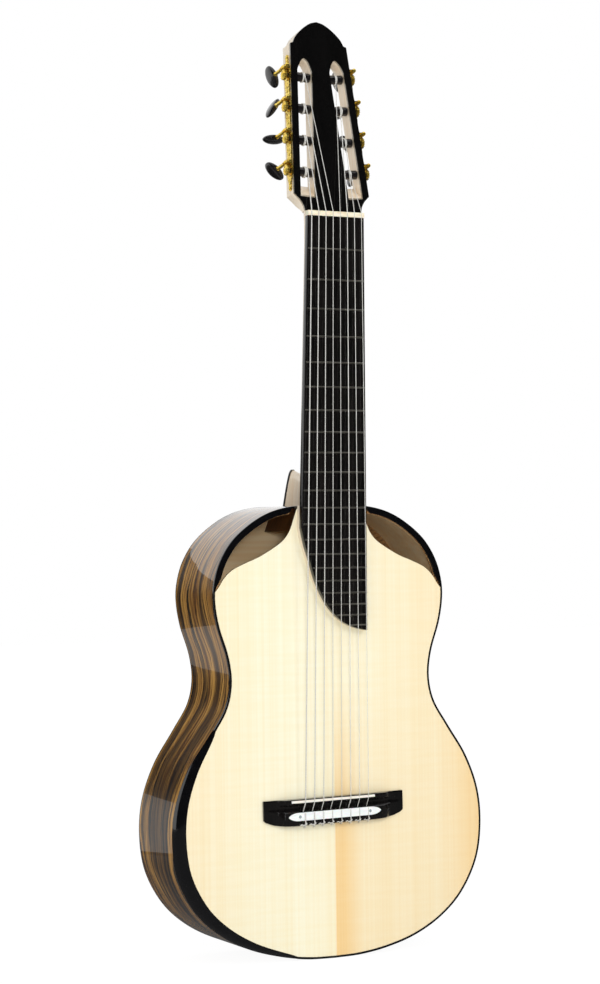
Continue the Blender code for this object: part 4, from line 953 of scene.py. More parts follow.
class GUITAR_OT_soundboard(Builder, bpy.types.Operator):
    """Builds the spruce soundboard with its two scooped port edges."""
    bl_idname = "guitar.soundboard"
    bl_label = "Soundboard"

    def make(self):
        shares = [(0.952, 0.952), (0.905, 0.846), (0.838, 0.755), (0.727, 0.676), (0.612, 0.606),
                  (0.498, 0.511), (0.405, 0.415), (0.350, 0.309), (0.312, 0.160), (0.283, 0.037)]
        half = UPPER_BOUT / 2
        edge = smooth_through([(half * across, JOIN - PORT_FOOT_DROP * down)
                               for across, down in shares], 8)
        plan = []
        for i in range(STEPS):
            if OUTLINE[i][0].y < port_foot() + 0.0005:
                width = edge_width(i) if armrest_share(i) > 0 else rim_width(i)
                plan.append(inset(i, width + GAP / 3))
        plan += [(-p.x, p.y) for p in edge]
        plan += [(p.x, p.y) for p in reversed(edge)]
        mesh = prism(plan, 0.0, TOP_THICKNESS)
        # The soundboard's cut faces round the ports are coloured black
        for face in mesh.polygons:
            if abs(face.normal.y) < 0.5 and face.center.z > port_foot() + 0.001:
                face.material_index = 1
        mesh = eased(mesh, 0.00025, 1)
        show("soundboard_panel", mesh, [spruce_top(woods()), black_lacquer("black port edge faces")],
             stands_for=["soundboard"])


class GUITAR_OT_shell(Builder, bpy.types.Operator):
    """Builds the two rosewood sides and the domed rosewood back."""
    bl_idname = "guitar.shell"
    bl_label = "Sides and back"

    def make(self):
        rosewood = streaked_rosewood(woods())
        bare = pale_wood("bare inner veneer", woods().inside_light, woods().inside_dark, "X", 0.6, 0.0)

        def section(i):
            z = OUTLINE[i % STEPS][0].y
            top = edge_depth(i) + GAP / 3
            bottom = back_level(z) - BACK_THICKNESS - GAP / 3
            inner = SIDE_THICKNESS
            return ((0.0, top), (inner, top), (inner, bottom), (0.0, bottom))

        for name, steps in (("treble", range(0, HALF + 1)), ("bass", range(HALF, STEPS + 1))):
            mesh = strip(list(steps), section, 0.0 if name == "treble" else BASS_GRAIN_OFFSET)
            for k, face in enumerate(mesh.polygons):
                if k < 4 * (len(steps) - 1) and k % 4 == 1:
                    face.material_index = 1
            show("side_wall_" + name, mesh, [rosewood, bare], stands_for=["side_" + name])

        shares = [1.0, 0.92, 0.80, 0.66, 0.50, 0.34, 0.17]
        centre = Vector((0.0, JOIN - 0.52 * BODY_LENGTH))
        edge = [Vector(inset(i, BINDING_WIDTH + GAP / 3)) for i in range(STEPS)]
        shell = bmesh.new()
        layers = []
        for lift in (0.0, BACK_THICKNESS):
            rows = []
            for share in shares:
                row = []
                for point in edge:
                    place = centre.lerp(point, share)
                    level = back_level(place.y) + BACK_DOME * (1.0 - share * share) - lift
                    row.append(shell.verts.new((place.x, level, place.y)))
                rows.append(row)
            middle = shell.verts.new((0.0, back_level(centre.y) + BACK_DOME - lift, centre.y))
            layers.append(rows)
            index = 1 if lift else 0
            for outer, inner in zip(rows, rows[1:]):
                for i in range(STEPS):
                    j = (i + 1) % STEPS
                    shell.faces.new((outer[i], outer[j], inner[j], inner[i])).material_index = index
            for i in range(STEPS):
                face = shell.faces.new((rows[-1][i], rows[-1][(i + 1) % STEPS], middle))
                face.material_index = index
        for i in range(STEPS):
            j = (i + 1) % STEPS
            shell.faces.new((layers[0][0][i], layers[0][0][j], layers[1][0][j], layers[1][0][i]))
        mesh = settled(shell)
        add_grain(mesh, [(v.co.z, abs(v.co.x) + BACK_GRAIN_OFFSET) for v in mesh.vertices])
        show("back_panel", mesh, [rosewood, bare], stands_for=["back"])


class GUITAR_OT_bindings(Builder, bpy.types.Operator):
    """Builds the black bindings, the port rims and the armrest bevel."""
    bl_idname = "guitar.bindings"
    bl_label = "Bindings and armrest"

    def make(self):
        black = black_lacquer("black binding lacquer")
        first, last = ARMREST_STEPS
        round_over = 0.0007

        def front(i):
            width = rim_width(i)
            return ((round_over, 0.0), (width - 0.0002, 0.0), (width, 0.0002), (width, TOP_THICKNESS),
                    (0.0, TOP_THICKNESS), (0.0, round_over), (0.3 * round_over, 0.3 * round_over))

        def back(i):
            level = back_level(OUTLINE[i % STEPS][0].y)
            return ((0.0, level - BACK_THICKNESS), (BINDING_WIDTH, level - BACK_THICKNESS),
                    (BINDING_WIDTH, level), (round_over, level),
                    (0.3 * round_over, level - 0.3 * round_over), (0.0, level - round_over))

        def armrest(i):
            width, depth, share = edge_width(i), edge_depth(i), armrest_share(i)
            ring = []
            for k in range(9):
                t = k / 8
                swell = 0.13 * share * math.sin(math.pi * t)
                ring.append((width * (1.0 - t - swell), depth * (t - swell)))
            return ring + [(min(SIDE_THICKNESS, width), depth), (width, min(depth, TOP_THICKNESS))]

        show("front_binding_rim", strip(list(range(last, STEPS + first + 1)), front), black,
             stands_for=["front_binding"])
        show("back_binding_rim", strip(list(range(STEPS)), back), black,
             stands_for=["back_binding"])
        show("armrest", strip(list(range(first, last + 1)), armrest), black,
             stands_for=["armrest_bevel"], angle=50.0)


class GUITAR_OT_inside(Builder, bpy.types.Operator):
    """Finishes the wood inside the body, which shows through the sound ports."""
    bl_idname = "guitar.inside"
    bl_label = "Inside of the body"

    def make(self):
        cedar = pale_wood("bare cedar", "#C99B66", "#9E6E40", "Z", 0.65, 0.0)
        spruce = pale_wood("bare spruce", "#E8CFA0", "#CFAE78", "Z", 0.6, 0.0)
        # The neck block is much darker than the cedar blocks: mahogany, with the shade deep inside the
        # body by the neck painted in
        recolour("neck_block", pale_wood("mahogany with painted shade", "#64401F", "#412713", "Z", 0.6, 0.0))
        for node in ("tail_block", "back_bars"):
            recolour(node, cedar)
        for node in ("fan_braces", "transverse_bar"):
            recolour(node, spruce)
        outer = SIDE_THICKNESS + GAP
        clear = [i for i in range(STEPS)
                 if abs(inset(i, outer)[0]) > BLOCK_HALF_WIDTH + 2 * GAP + LINING_WIDTH / 4]
        for name, steps in (("treble", [i for i in clear if i < HALF]),
                            ("bass", [i for i in clear if i > HALF])):
            for level in ("front", "back"):
                mesh = self.blocks(steps, level, outer, cedar)
                show("kerfed_lining_%s_%s" % (level, name), mesh, cedar,
                     stands_for=["lining_%s_%s" % (level, name)], angle=20.0)

    def blocks(self, steps, level, outer, material):
        """Small wedge blocks set side by side along a side's edge, joined by a thin strip."""
        steps = steps[2:-2]
        path = []
        for i in steps:
            x, z = inset(i, outer)
            if level == "front":
                seat = edge_depth(i) + GAP
            else:
                seat = back_level(OUTLINE[i][0].y) - BACK_THICKNESS - GAP
            path.append((x, seat, z))
        mesh = wires(path, [(k, k + 1) for k in range(len(path) - 1)])
        direction = 1.0 if level == "front" else -1.0
        settings = {"Pitch": fittings().kerf_pitch, "Width": LINING_WIDTH, "Depth": LINING_DEPTH,
                    "Direction": direction, "Material": material}

        def build(tree, sockets):
            line = add_node(tree, "GeometryNodeMeshToCurve", inputs={0: sockets["Geometry"]})
            spaced = add_node(tree, "GeometryNodeCurveToPoints", {"mode": "LENGTH"},
                              {"Curve": line, "Length": sockets["Pitch"]})
            turned_to = add_node(tree, "FunctionNodeAlignEulerToVector",
                                 {"axis": "Z", "pivot_axis": "Y"},
                                 {"Vector": spaced.outputs["Tangent"]})
            place = add_node(tree, "GeometryNodeInputPosition")
            parts = add_node(tree, "ShaderNodeSeparateXYZ", inputs={0: place})
            got = {key: sockets[key] for key in ("Pitch", "Width", "Depth", "Direction")}
            got.update(zip("xyz", parts.outputs))
            # Each block tapers from its full width at the seat to a thin foot
            for name, operation, *terms in (
                    ("length", "MULTIPLY", "Pitch", 0.78), ("depth", "MULTIPLY", "Depth", 0.94),
                    ("share", "DIVIDE", "y", "depth"),
                    ("share", "MULTIPLY_ADD", "share", "Direction", 0.5),
                    ("taper", "MULTIPLY_ADD", "share", -0.8, 0.94), ("half", "MULTIPLY", "Width", 0.5),
                    ("from_wall", "ADD", "x", "half"), ("drawn", "MULTIPLY", "from_wall", "taper"),
                    ("half_depth", "MULTIPLY", "depth", 0.5),
                    ("rise", "MULTIPLY_ADD", "half_depth", "Direction", "y")):
                got[name] = add_node(tree, "ShaderNodeMath", {"operation": operation},
                                     {k: got.get(term, term) for k, term in enumerate(terms)})
            block = add_node(tree, "ShaderNodeCombineXYZ",
                             inputs={0: got["Width"], 1: got["depth"], 2: got["length"]})
            cube = add_node(tree, "GeometryNodeMeshCube", inputs={"Size": block})
            target = add_node(tree, "ShaderNodeCombineXYZ",
                              inputs={0: got["drawn"], 1: got["rise"], 2: got["z"]})
            shaped = add_node(tree, "GeometryNodeSetPosition",
                              inputs={"Geometry": cube, "Position": target})
            placed = add_node(tree, "GeometryNodeInstanceOnPoints",
                              inputs={"Points": spaced, "Instance": shaped,
                                      "Rotation": turned_to})
            return placed

        return grown(mesh, "lining blocks", settings, build)


class GUITAR_OT_neck(Builder, bpy.types.Operator):
    """Builds the neck with its heel, the heel's black cap and the riser under the board."""
    bl_idname = "guitar.neck"
    bl_label = "Neck"

    def make(self):
        wood = pale_wood("neck wood", woods().neck_light, woods().neck_dark, "Z", 0.35, 0.5)
        top_of_heel = JOIN + HEEL_DRAWN
        shares = [math.sin(math.pi / 2 * i / 19) for i in range(20)]
        stations = [JOIN + GAP] + [JOIN + HEEL_DRAWN * q for q in (0.2, 0.4, 0.6, 0.8, 0.92, 1.0)]
        stations += [top_of_heel + HEEL_CURVE * (q / 24) ** 1.4 for q in range(1, 25)]
        run = -NECK_SWELL - stations[-1]
        stations += [stations[-1] + run * q / 8 for q in range(1, 9)]
        stations += [-0.026, -0.022, -0.018, -0.014, -0.010, -0.006]

        def cap_top(z):
            """The heel is a little shallower towards its upper end."""
            return back_level(JOIN) - HEEL_CAP_DRAWN - HEEL_SLOPE * max(z - JOIN - GAP, 0.0)

        def ring_at(z, end=False):
            sweep = clamped((z - top_of_heel) / HEEL_CURVE)
            heel_depth = cap_top(min(z, top_of_heel)) - GAP / 3 - board_under(z)
            depth = NECK_DEPTH + (heel_depth - NECK_DEPTH) * (1.0 - sweep) ** 3
            heel_like = (1.0 - sweep) ** 2
            tip_share = clamped((top_of_heel - z) / HEEL_DRAWN)
            tip = HEEL_TIP_HALF_WIDTH * (0.12 + 0.88 * math.sqrt(tip_share)) if sweep < 1.0 else 0.0
            near_head = clamped((z + NECK_SWELL) / NECK_SWELL)
            depth += (HEAD_WOOD - NECK_DEPTH) * near_head * (1.0 - heel_like)
            half = board_half_width(min(z, 0.0)) - GAP / 2
            right = []
            for share in shares:
                power = 2.0 + 0.3 * near_head
                round_x = half * max(1.0 - share ** power, 0.0) ** (1.0 / power)
                heel_x = tip + (half - tip) * (1.0 - share) ** 2.3
                x = max(round_x * (1.0 - heel_like) + heel_x * heel_like, 0.0004)
                right.append((x, share * depth))
            if end:
                return [HEAD @ Vector(point) for point in
                        mirrored([(x, VENEER + d, HEAD_START - GAP / 3) for x, d in right])]
            level = board_under(z)
            # The heel's upper end leans: it sits lower at the neck than at the cap
            past = max(z - top_of_heel - HEEL_CURVE, 0.0)
            fade = max(1.0 - tip_share - past / 0.045, 0.0)
            whole = cap_top(top_of_heel) - board_under(top_of_heel)
            return mirrored([(x, level + d, z + HEEL_UNDERCUT * fade * (d / whole - HEEL_PIVOT))
                             for x, d in right])

        rings = [ring_at(z) for z in stations] + [ring_at(0.0, end=True)]
        show("neck_shaft", loft(rings), wood, stands_for=["neck"], angle=45.0)

        right = []
        for k in range(25):
            share = 1.0 - (k / 24) ** 1.6
            rise = HEEL_DRAWN * (1.0 - share) + HEEL_UNDERCUT * (1.0 - HEEL_PIVOT) * (1.0 - share)
            width = HEEL_TIP_HALF_WIDTH * (0.12 + 0.88 * math.sqrt(share)) + 0.0005
            right.append((width, JOIN + GAP + rise))
        cap = prism(mirrored(right), cap_top, lambda z: cap_top(z) + HEEL_CAP_DRAWN)
        show("heel_end_cap", eased(cap, 0.0004), polished_ebony("heel cap ebony", "#141010", 0.5, 0.0),
             stands_for=["heel_cap"])

        riser = prism(board_plan(JOIN - GAP), lambda z: board_under(z) + GAP / 3, -GAP / 3)
        show("board_riser", eased(riser, 0.0002, 1), wood, stands_for=["fingerboard_riser"])


class GUITAR_OT_fingerboard(Builder, bpy.types.Operator):
    """Builds the ebony fingerboard and its metal frets."""
    bl_idname = "guitar.fingerboard"
    bl_label = "Fingerboard"

    def make(self):
        board = eased(prism(board_plan(-GAP / 3), board_level, board_under), 0.0004)
        show("fingerboard_blank", board, polished_ebony("fingerboard ebony", "#1D1918", 0.22, 0.4),
             stands_for=["fingerboard"])
        ends, edges = [], []
        for n in range(1, FRET_COUNT + 1):
            z = fret_z(n)
            left, right = board_cut_x(z) + FRET_INSET_BASS, board_half_width(z) - FRET_INSET_TREBLE
            edges.append((len(ends), len(ends) + 1))
            ends += [(left, board_level(z), z), (right, board_level(z), z)]
        steel = nickel_silver("nickel silver wire", "#98948B")
        settings = {"Width": fittings().fret_width, "Height": fittings().fret_height, "Material": steel}

        def build(tree, sockets):
            line = add_node(tree, "GeometryNodeMeshToCurve", inputs={0: sockets["Geometry"]})
            circle = add_node(tree, "GeometryNodeCurvePrimitiveCircle", {"mode": "RADIUS"},
                              {"Resolution": 16, "Radius": 1.0})
            half = add_node(tree, "ShaderNodeMath", {"operation": "MULTIPLY"},
                            {0: sockets["Width"], 1: 0.5})
            size = add_node(tree, "ShaderNodeCombineXYZ",
                            inputs={0: half, 1: sockets["Height"], 2: 1.0})
            crown = add_node(tree, "GeometryNodeTransform",
                             inputs={"Geometry": circle, "Scale": size})
            upright = add_node(tree, "GeometryNodeSetCurveNormal", {"mode": "Z_UP"},
                               {"Curve": line})
            wire = add_node(tree, "GeometryNodeCurveToMesh",
                            inputs={"Curve": upright, "Profile Curve": crown,
                                    "Fill Caps": True})
            return wire

        frets = grown(wires(ends, edges), "fret wire", settings, build)
        show("frets", frets, steel)


class GUITAR_OT_nut_and_saddle(Builder, bpy.types.Operator):
    """Builds the slotted bone nut and the rounded bone saddle."""
    bl_idname = "guitar.nut_and_saddle"
    bl_label = "Nut and saddle"

    def make(self):
        bone = polished_bone("polished bone", "#F7EFD9", "#E9DCBB")
        top = board_level(0.0) - NUT_HEIGHT
        bottom = board_under(NUT_THICKNESS)
        half = NUT_WIDTH / 2
        plan = [(half, bottom), (half, top + 0.0006), (half - 0.0006, top)]
        for number, diameter in enumerate(STRING_DIAMETERS):
            x = string_x(number, NUT_STRING_SPREAD)
            reach = diameter / 2 + STRING_SLOT_EASE
            floor = string_level(number)
            plan.append((x + reach, top))
            for k in range(7):
                angle = math.pi * k / 6
                plan.append((x + reach * math.cos(angle), floor + reach * math.sin(angle)))
            plan.append((x - reach, top))
        plan += [(-half + 0.0006, top), (-half, top + 0.0006), (-half, bottom)]
        nut = loft([[(x, y, z) for x, y in plan] for z in (0.0, NUT_THICKNESS)])
        show("nut_blank", eased(nut, 0.0002, 2, 60.0), bone, stands_for=["nut"])

        rings = []
        for k in range(13):
            share = -1.0 + 2.0 * k / 12
            x = SADDLE_LENGTH / 2 * share
            end = 0.0012 * abs(share) ** 12
            half_z, crown = SADDLE_THICKNESS / 2, -SADDLE_HEIGHT + end
            arc = [(x, crown + 0.0010 * (1.0 - math.sin(angle)), -half_z * math.cos(angle))
                   for angle in (math.pi * q / 8 for q in range(9))]
            rings.append([(x, -SADDLE_SEAT, -half_z), *arc, (x, -SADDLE_SEAT, half_z)])
        show("saddle_blank", moved(loft(rings), BRIDGE @ at(SADDLE_SHIFT, 0.0, 0.0)),
             polished_bone("white saddle bone", "#FDFBF4", "#F2ECDC"), stands_for=["saddle"])


class GUITAR_OT_head(Builder, bpy.types.Operator):
    """Builds the slotted head: light wood, black face, and lines of painted highlight and shade."""
    bl_idname = "guitar.head"
    bl_label = "Head"

    def outline(self):
        """The head's outline in its own frame, treble side from the nut up, then down the bass side."""
        nut_half = NUT_WIDTH / 2
        wide, corner = HEAD_SHOULDER_HALF_WIDTH, HEAD_CORNER_HALF_WIDTH
        rise = HEAD_SHOULDER_HEIGHT - HEAD_START
        flare = wide - nut_half
        foot = [(nut_half + out * flare, HEAD_START + up * rise)
                for out, up in ((0.0, 0.0), (0.10, 0.30), (0.38, 0.62), (0.78, 0.88))]
        crown = HEAD_LENGTH - HEAD_CORNER_HEIGHT
        arch = corner - 0.0035
        peak = [(arch * share, HEAD_CORNER_HEIGHT + up * crown)
                for share, up in ((0.90, 0.28), (0.72, 0.52), (0.50, 0.74), (0.25, 0.92))]
        right = smooth_through(foot + [(wide, HEAD_SHOULDER_HEIGHT)], 6)
        right.append(Vector((corner, HEAD_CORNER_HEIGHT)))
        right += smooth_through([(arch, HEAD_CORNER_HEIGHT + 0.0012)] + peak + [(0.0, HEAD_LENGTH)], 5)
        points = [(p.x, p.y) for p in right]
        return mirrored(points[:-1], points[-1:])

    def slots(self, front, back):
        """Both string slots: long, arched at the top, with a ramp at the foot."""
        meshes = []
        for side in SIDES.values():
            local = HEAD.inverted() @ side_frame(side)
            middle = -(SLOT_WALL + SLOT_WIDTH / 2)
            low = SLOT_BOTTOM - HEAD_SHOULDER_HEIGHT
            spring = SLOT_SPRING - HEAD_SHOULDER_HEIGHT
            half = SLOT_WIDTH / 2
            across = [1.0 - k / 16 for k in range(33)]
            shape = [(half * a, spring + SLOT_ARCH * (1.0 - a * a)) for a in across]
            rings = []
            for depth in (front, back):
                ramp_rise = SLOT_RAMP * depth / (VENEER + HEAD_WOOD)
                foot = [(-half, low + ramp_rise), (half, low + ramp_rise)]
                rings.append([local @ Vector((side * middle + x, depth, z)) for x, z in shape + foot])
            meshes.append(loft(rings))
        return joined(meshes)

    def foot(self):
        """All that the head's wood may fill: round like the neck at its foot, square higher up."""
        shares = [math.sin(math.pi / 2 * i / 19) for i in range(20)]
        rings = []
        for k in range(13):
            rise = k / 12
            z = HEAD_START - 0.001 + (HEAD_SHOULDER_HEIGHT + 0.004 - HEAD_START) * rise
            half = NUT_WIDTH / 2 + 0.001 + (HEAD_SHOULDER_HALF_WIDTH + 0.002 - NUT_WIDTH / 2) * rise
            power = 2.2 + 1.5 * rise + 34.0 * rise ** 3
            right = [(half * max(1.0 - share ** power, 0.0) ** (1.0 / power),
                      VENEER + (HEAD_WOOD + 0.0005) * share) for share in shares]
            rings.append(mirrored([(x, y, z) for x, y in right]))
        rings.append([(x, y, HEAD_LENGTH + 0.001) for x, y, _ in rings[-1]])
        return loft(rings)

    def bores(self):
        """Stepped bores through each flank, across the slot and into the middle bar."""
        inner = -(SLOT_WALL + SLOT_WIDTH)
        meshes = []
        for side in SIDES.values():
            local = HEAD.inverted() @ side_frame(side)
            for k in range(ROLLER_COUNT):
                tip, shaft = ROLLER_TIP_RADIUS + BORE_EASE, ROLLER_SHAFT_RADIUS + BORE_EASE
                profile = [(side * (inner - ROLLER_TIP_LENGTH - GAP), tip),
                           (side * (inner + SLOT_WIDTH / 2), tip),
                           (side * (inner + SLOT_WIDTH / 2), shaft), (side * 0.002, shaft)]
                place = at(0.0, ROLLER_DEPTH, roller_height(k))
                meshes.append(moved(turned(profile, 24, "X"), local @ place))
        return joined(meshes)

    def make(self):
        wood = pale_wood("head wood", woods().neck_light, woods().neck_dark, "Z", 0.4, 0.4)
        outline = self.outline()
        core = cut(prism(outline, FACE_LAYERS[3], VENEER + HEAD_WOOD), self.foot(), "INTERSECT")
        core = cut(core, self.slots(-0.001, VENEER + HEAD_WOOD + 0.001))
        core = eased(cut(core, self.bores()), 0.0003, 2, 40.0)
        show("head_core", moved(core, HEAD), wood, stands_for=["headstock"])
        # Under the black face, a pale layer's edge is a painted highlight and a black layer's edge is
        # painted shade
        layers = [("head_face", polished_ebony("face ebony", "#0E0D0D", 0.12, 0.3), "ebony"),
                  ("head_highlight_line", pale_wood("pale highlight line", "#F7EBD2", "#E8D3AC", "Z"), "neck_wood"),
                  ("head_shade_line", black_lacquer("black shade line"), "ebony")]
        for (name, material, slot), near, far in zip(layers, FACE_LAYERS, FACE_LAYERS[1:]):
            mesh = cut(prism(outline, near, far), self.slots(-0.001, VENEER + HEAD_WOOD + 0.001))
            if near == 0.0:
                mesh = eased(mesh, 0.0003, 2, 40.0)
            show(name, moved(mesh, HEAD), material,
                 stands_for=["head_veneer"] if near == 0.0 else ())


class GUITAR_OT_tuning_machines(Builder, bpy.types.Operator):
    """Builds the gold plates, worms and wheels, the black rollers and the oval buttons."""
    bl_idname = "guitar.tuning_machines"
    bl_label = "Tuning machines"

    def plate(self, side):
        """A scalloped plate with rounded ends, drilled for the rollers, with a pair of lugs each."""
        steps_between = 20
        last = ROLLER_COUNT - 1
        right = []
        for distance, width in ((1.0, 0.04), (0.985, 0.20), (0.95, 0.34), (0.89, 0.43), (0.82, 0.44),
                                (0.74, 0.36), (0.60, 0.40), (0.42, 0.66), (0.22, 0.92)):
            right.append(Vector((PLATE_HALF_WIDTH * width, roller_height(0) - PLATE_END * distance)))
        for i in range(last * steps_between + 1):
            wave = 0.90 + 0.12 * math.cos(2 * math.pi * i / steps_between)
            notch = 0.05 * math.cos(6 * math.pi * i / steps_between)
            right.append(Vector((PLATE_HALF_WIDTH * (wave + notch - 0.05),
                                 roller_height(0) + ROLLER_PITCH * i / steps_between)))
        low, high = roller_height(0), roller_height(last)
        right += [Vector((p.x, high + low - p.y)) for p in reversed(right[:9])]
        out = side * (GAP + PLATE_THICKNESS)
        sheet = loft([[(x, ROLLER_DEPTH + y, z) for y, z in mirrored(right)] for x in (0.0, out)])
        lugs = []
        for k in range(ROLLER_COUNT):
            z = roller_height(k) + WORM_ABOVE_ROLLER
            for start in (-LUG_START - LUG_THICKNESS, LUG_START):
                shape = [(0.5 * out, -LUG_HALF_WIDTH * 0.9)]
                for q in range(13):
                    angle = -math.pi / 2 + math.pi * q / 12
                    shape.append((side * (GEAR_CENTRE + LUG_HALF_WIDTH * 0.96 * math.cos(angle)),
                                  LUG_HALF_WIDTH * 0.96 * math.sin(angle)))
                shape.append((0.5 * out, LUG_HALF_WIDTH * 0.9))
                ends = [ROLLER_DEPTH + start, ROLLER_DEPTH + start + LUG_THICKNESS]
                lugs.append(loft([[(x, y, z + up) for x, up in shape] for y in ends]))
        holes = []
        for k in range(ROLLER_COUNT):
            span = [(side * x, ROLLER_SHAFT_RADIUS + BORE_EASE) for x in (-0.001, 0.003)]
            place = at(0.0, ROLLER_DEPTH, roller_height(k))
            holes.append(moved(turned(span, 24, "X"), place))
            reach_y = LUG_START + LUG_THICKNESS + 0.001
            span = [(y, JOURNAL_RADIUS + BORE_EASE) for y in (-reach_y, reach_y)]
            place = at(side * GEAR_CENTRE, ROLLER_DEPTH, roller_height(k) + WORM_ABOVE_ROLLER)
            holes.append(moved(turned(span, 20, "Y"), place))
        return cut(cut(sheet, joined(lugs), "UNION"), joined(holes))

    def scrolls(self, side):
        """Raised leaf scrolls between the wheels."""
        meshes = []
        level = side * (GAP + PLATE_THICKNESS)
        # Each scroll turns by 3.6 radians while it closes to 22% of its first radius
        first, steps = 0.0024, 24
        for k in range(ROLLER_COUNT - 1):
            middle = roller_height(k) + ROLLER_PITCH / 2
            for up in (1, -1):
                for across in (1, -1):
                    points = []
                    for q in range(steps + 1):
                        turn = 3.6 * q / steps
                        size = first * (1.0 - 0.78 * q / steps)
                        y = ROLLER_DEPTH + across * (first - size * math.cos(turn))
                        z = middle + up * (0.0050 + 0.6 * size - size * math.sin(turn))
                        points.append(Vector((level, y, z)))
                    meshes.append(tube(points, 0.00042, 8))
        for up in (-1, 1):
            base = roller_height(0) if up < 0 else roller_height(ROLLER_COUNT - 1)
            for across in (1, -1):
                bows = [(0.0006 + 0.0016 * math.sin(math.pi * q / 12), q / 12) for q in range(13)]
                points = [Vector((level, ROLLER_DEPTH + across * out, base + up * (0.0105 + 0.0065 * t)))
                          for out, t in bows]
                meshes.append(tube(points, 0.0004, 8))
        return joined(meshes)

    def screws(self, side, gold):
        """Domed screws with a slot, one at each end of the plate and one between the wheels."""
        level = side * (GAP + PLATE_THICKNESS)
        past_end = PLATE_END * 0.86
        heights = [roller_height(0) - past_end, roller_height(ROLLER_COUNT - 1) + past_end]
        heights += [roller_height(k) + ROLLER_PITCH / 2 for k in range(ROLLER_COUNT - 1)]
        places = wires([(level, ROLLER_DEPTH, z) for z in heights])
        settings = {"Radius": fittings().screw_radius, "Side": float(side), "Material": gold}

        def build(tree, sockets):
            """A flattened ball on each point, with a bar sunk across it for the driver's slot."""
            ball = add_node(tree, "GeometryNodeMeshUVSphere",
                            inputs={"Segments": 24, "Rings": 12, "Radius": sockets["Radius"]})
            dome = add_node(tree, "GeometryNodeTransform",
                            inputs={"Geometry": ball, "Scale": (0.42, 1.0, 1.0)})
            size = add_node(tree, "ShaderNodeVectorMath", {"operation": "SCALE"},
                            {0: (0.8, 0.22, 2.4), "Scale": sockets["Radius"]})
            bar = add_node(tree, "GeometryNodeMeshCube", inputs={"Size": size})
            out = add_node(tree, "ShaderNodeMath", {"operation": "MULTIPLY"},
                           {0: sockets["Radius"], 1: sockets["Side"]})
            out = add_node(tree, "ShaderNodeMath", {"operation": "MULTIPLY"}, {0: out, 1: 0.55})
            shift = add_node(tree, "ShaderNodeCombineXYZ", inputs={0: out})
            slot = add_node(tree, "GeometryNodeTransform",
                            inputs={"Geometry": bar, "Translation": shift,
                                    "Rotation": (0.6, 0.0, 0.0)})
            headed = add_node(tree, "GeometryNodeMeshBoolean", {"operation": "DIFFERENCE"},
                              {"Mesh 1": dome, "Mesh 2": slot})
            placed = add_node(tree, "GeometryNodeInstanceOnPoints",
                              inputs={"Points": sockets["Geometry"], "Instance": headed})
            return placed

        return grown(places, "plate screws", settings, build)

    def wheel(self):
        """The worm wheel: trapezoid teeth, raised rings on its face and a screw in its middle."""
        pitch = 2 * math.pi / GEAR_TEETH
        tip, root = GEAR_PITCH_RADIUS + GEAR_ADDENDUM, GEAR_PITCH_RADIUS - GEAR_DEDENDUM
        ring = []
        for tooth in range(GEAR_TEETH):
            middle = (tooth + 0.5) * pitch
            for share, radius in ((-0.42, root), (-0.33, root), (-0.13, tip), (0.0, tip + 0.00005),
                                  (0.13, tip), (0.33, root), (0.42, root)):
                angle = middle + share * pitch
                ring.append((radius * math.sin(angle), radius * math.cos(angle)))
        inner, outer = GEAR_CENTRE - GEAR_FACE / 2, GEAR_CENTRE + GEAR_FACE / 2
        teeth = eased(loft([[(x, y, z) for y, z in ring] for x in (inner, outer)]), 0.00018, 2, 60.0)
        face = [(inner - 0.0004, 0.0), (inner - 0.0004, 0.0040), (inner, 0.0046), (outer, 0.0062),
                (outer + 0.00035, 0.0060), (outer + 0.00035, 0.0054), (outer + 0.0001, 0.0050),
                (outer + 0.0001, 0.0046), (outer + 0.0008, 0.0042), (outer + 0.0010, 0.0036),
                (outer + 0.0006, 0.0030), (outer + 0.0006, 0.0027), (outer + 0.0013, 0.0025),
                (outer + 0.0017, 0.0017), (outer + 0.0018, 0.0)]
        face = [(along, radius * (root / FACE_DRAWN_RADIUS)) for along, radius in face]
        slot_bar = moved(prism(rectangle(0.0004, 0.00014), -0.0022, 0.0022),
                         at(outer + 0.0020, 0.0, 0.0))
        return joined([teeth, cut(turned(face, 40, "X"), slot_bar)])

    def roller(self):
        """The black barrel with a string hole, and the ends that run in the head."""
        inner = -(SLOT_WALL + SLOT_WIDTH)
        gap, ease = 0.0004, 0.0005
        left, right = inner + gap, -SLOT_WALL - gap
        profile = [(inner - ROLLER_TIP_LENGTH, ROLLER_TIP_RADIUS), (left, ROLLER_TIP_RADIUS),
                   (left, BARREL_RADIUS - ease), (left + ease, BARREL_RADIUS),
                   (right - ease, BARREL_RADIUS), (right, BARREL_RADIUS - ease),
                   (right, ROLLER_SHAFT_RADIUS),
                   (GEAR_CENTRE - GEAR_FACE / 2 - 0.0004, ROLLER_SHAFT_RADIUS)]
        hole = turned([(y, 0.0011) for y in (-0.01, 0.01)], 12, "Y")
        hole = moved(hole, at(inner + SLOT_WIDTH * 0.30, 0.0, 0.0))
        return eased(cut(turned(profile, 40, "X"), hole), 0.0002, 2, 50.0)

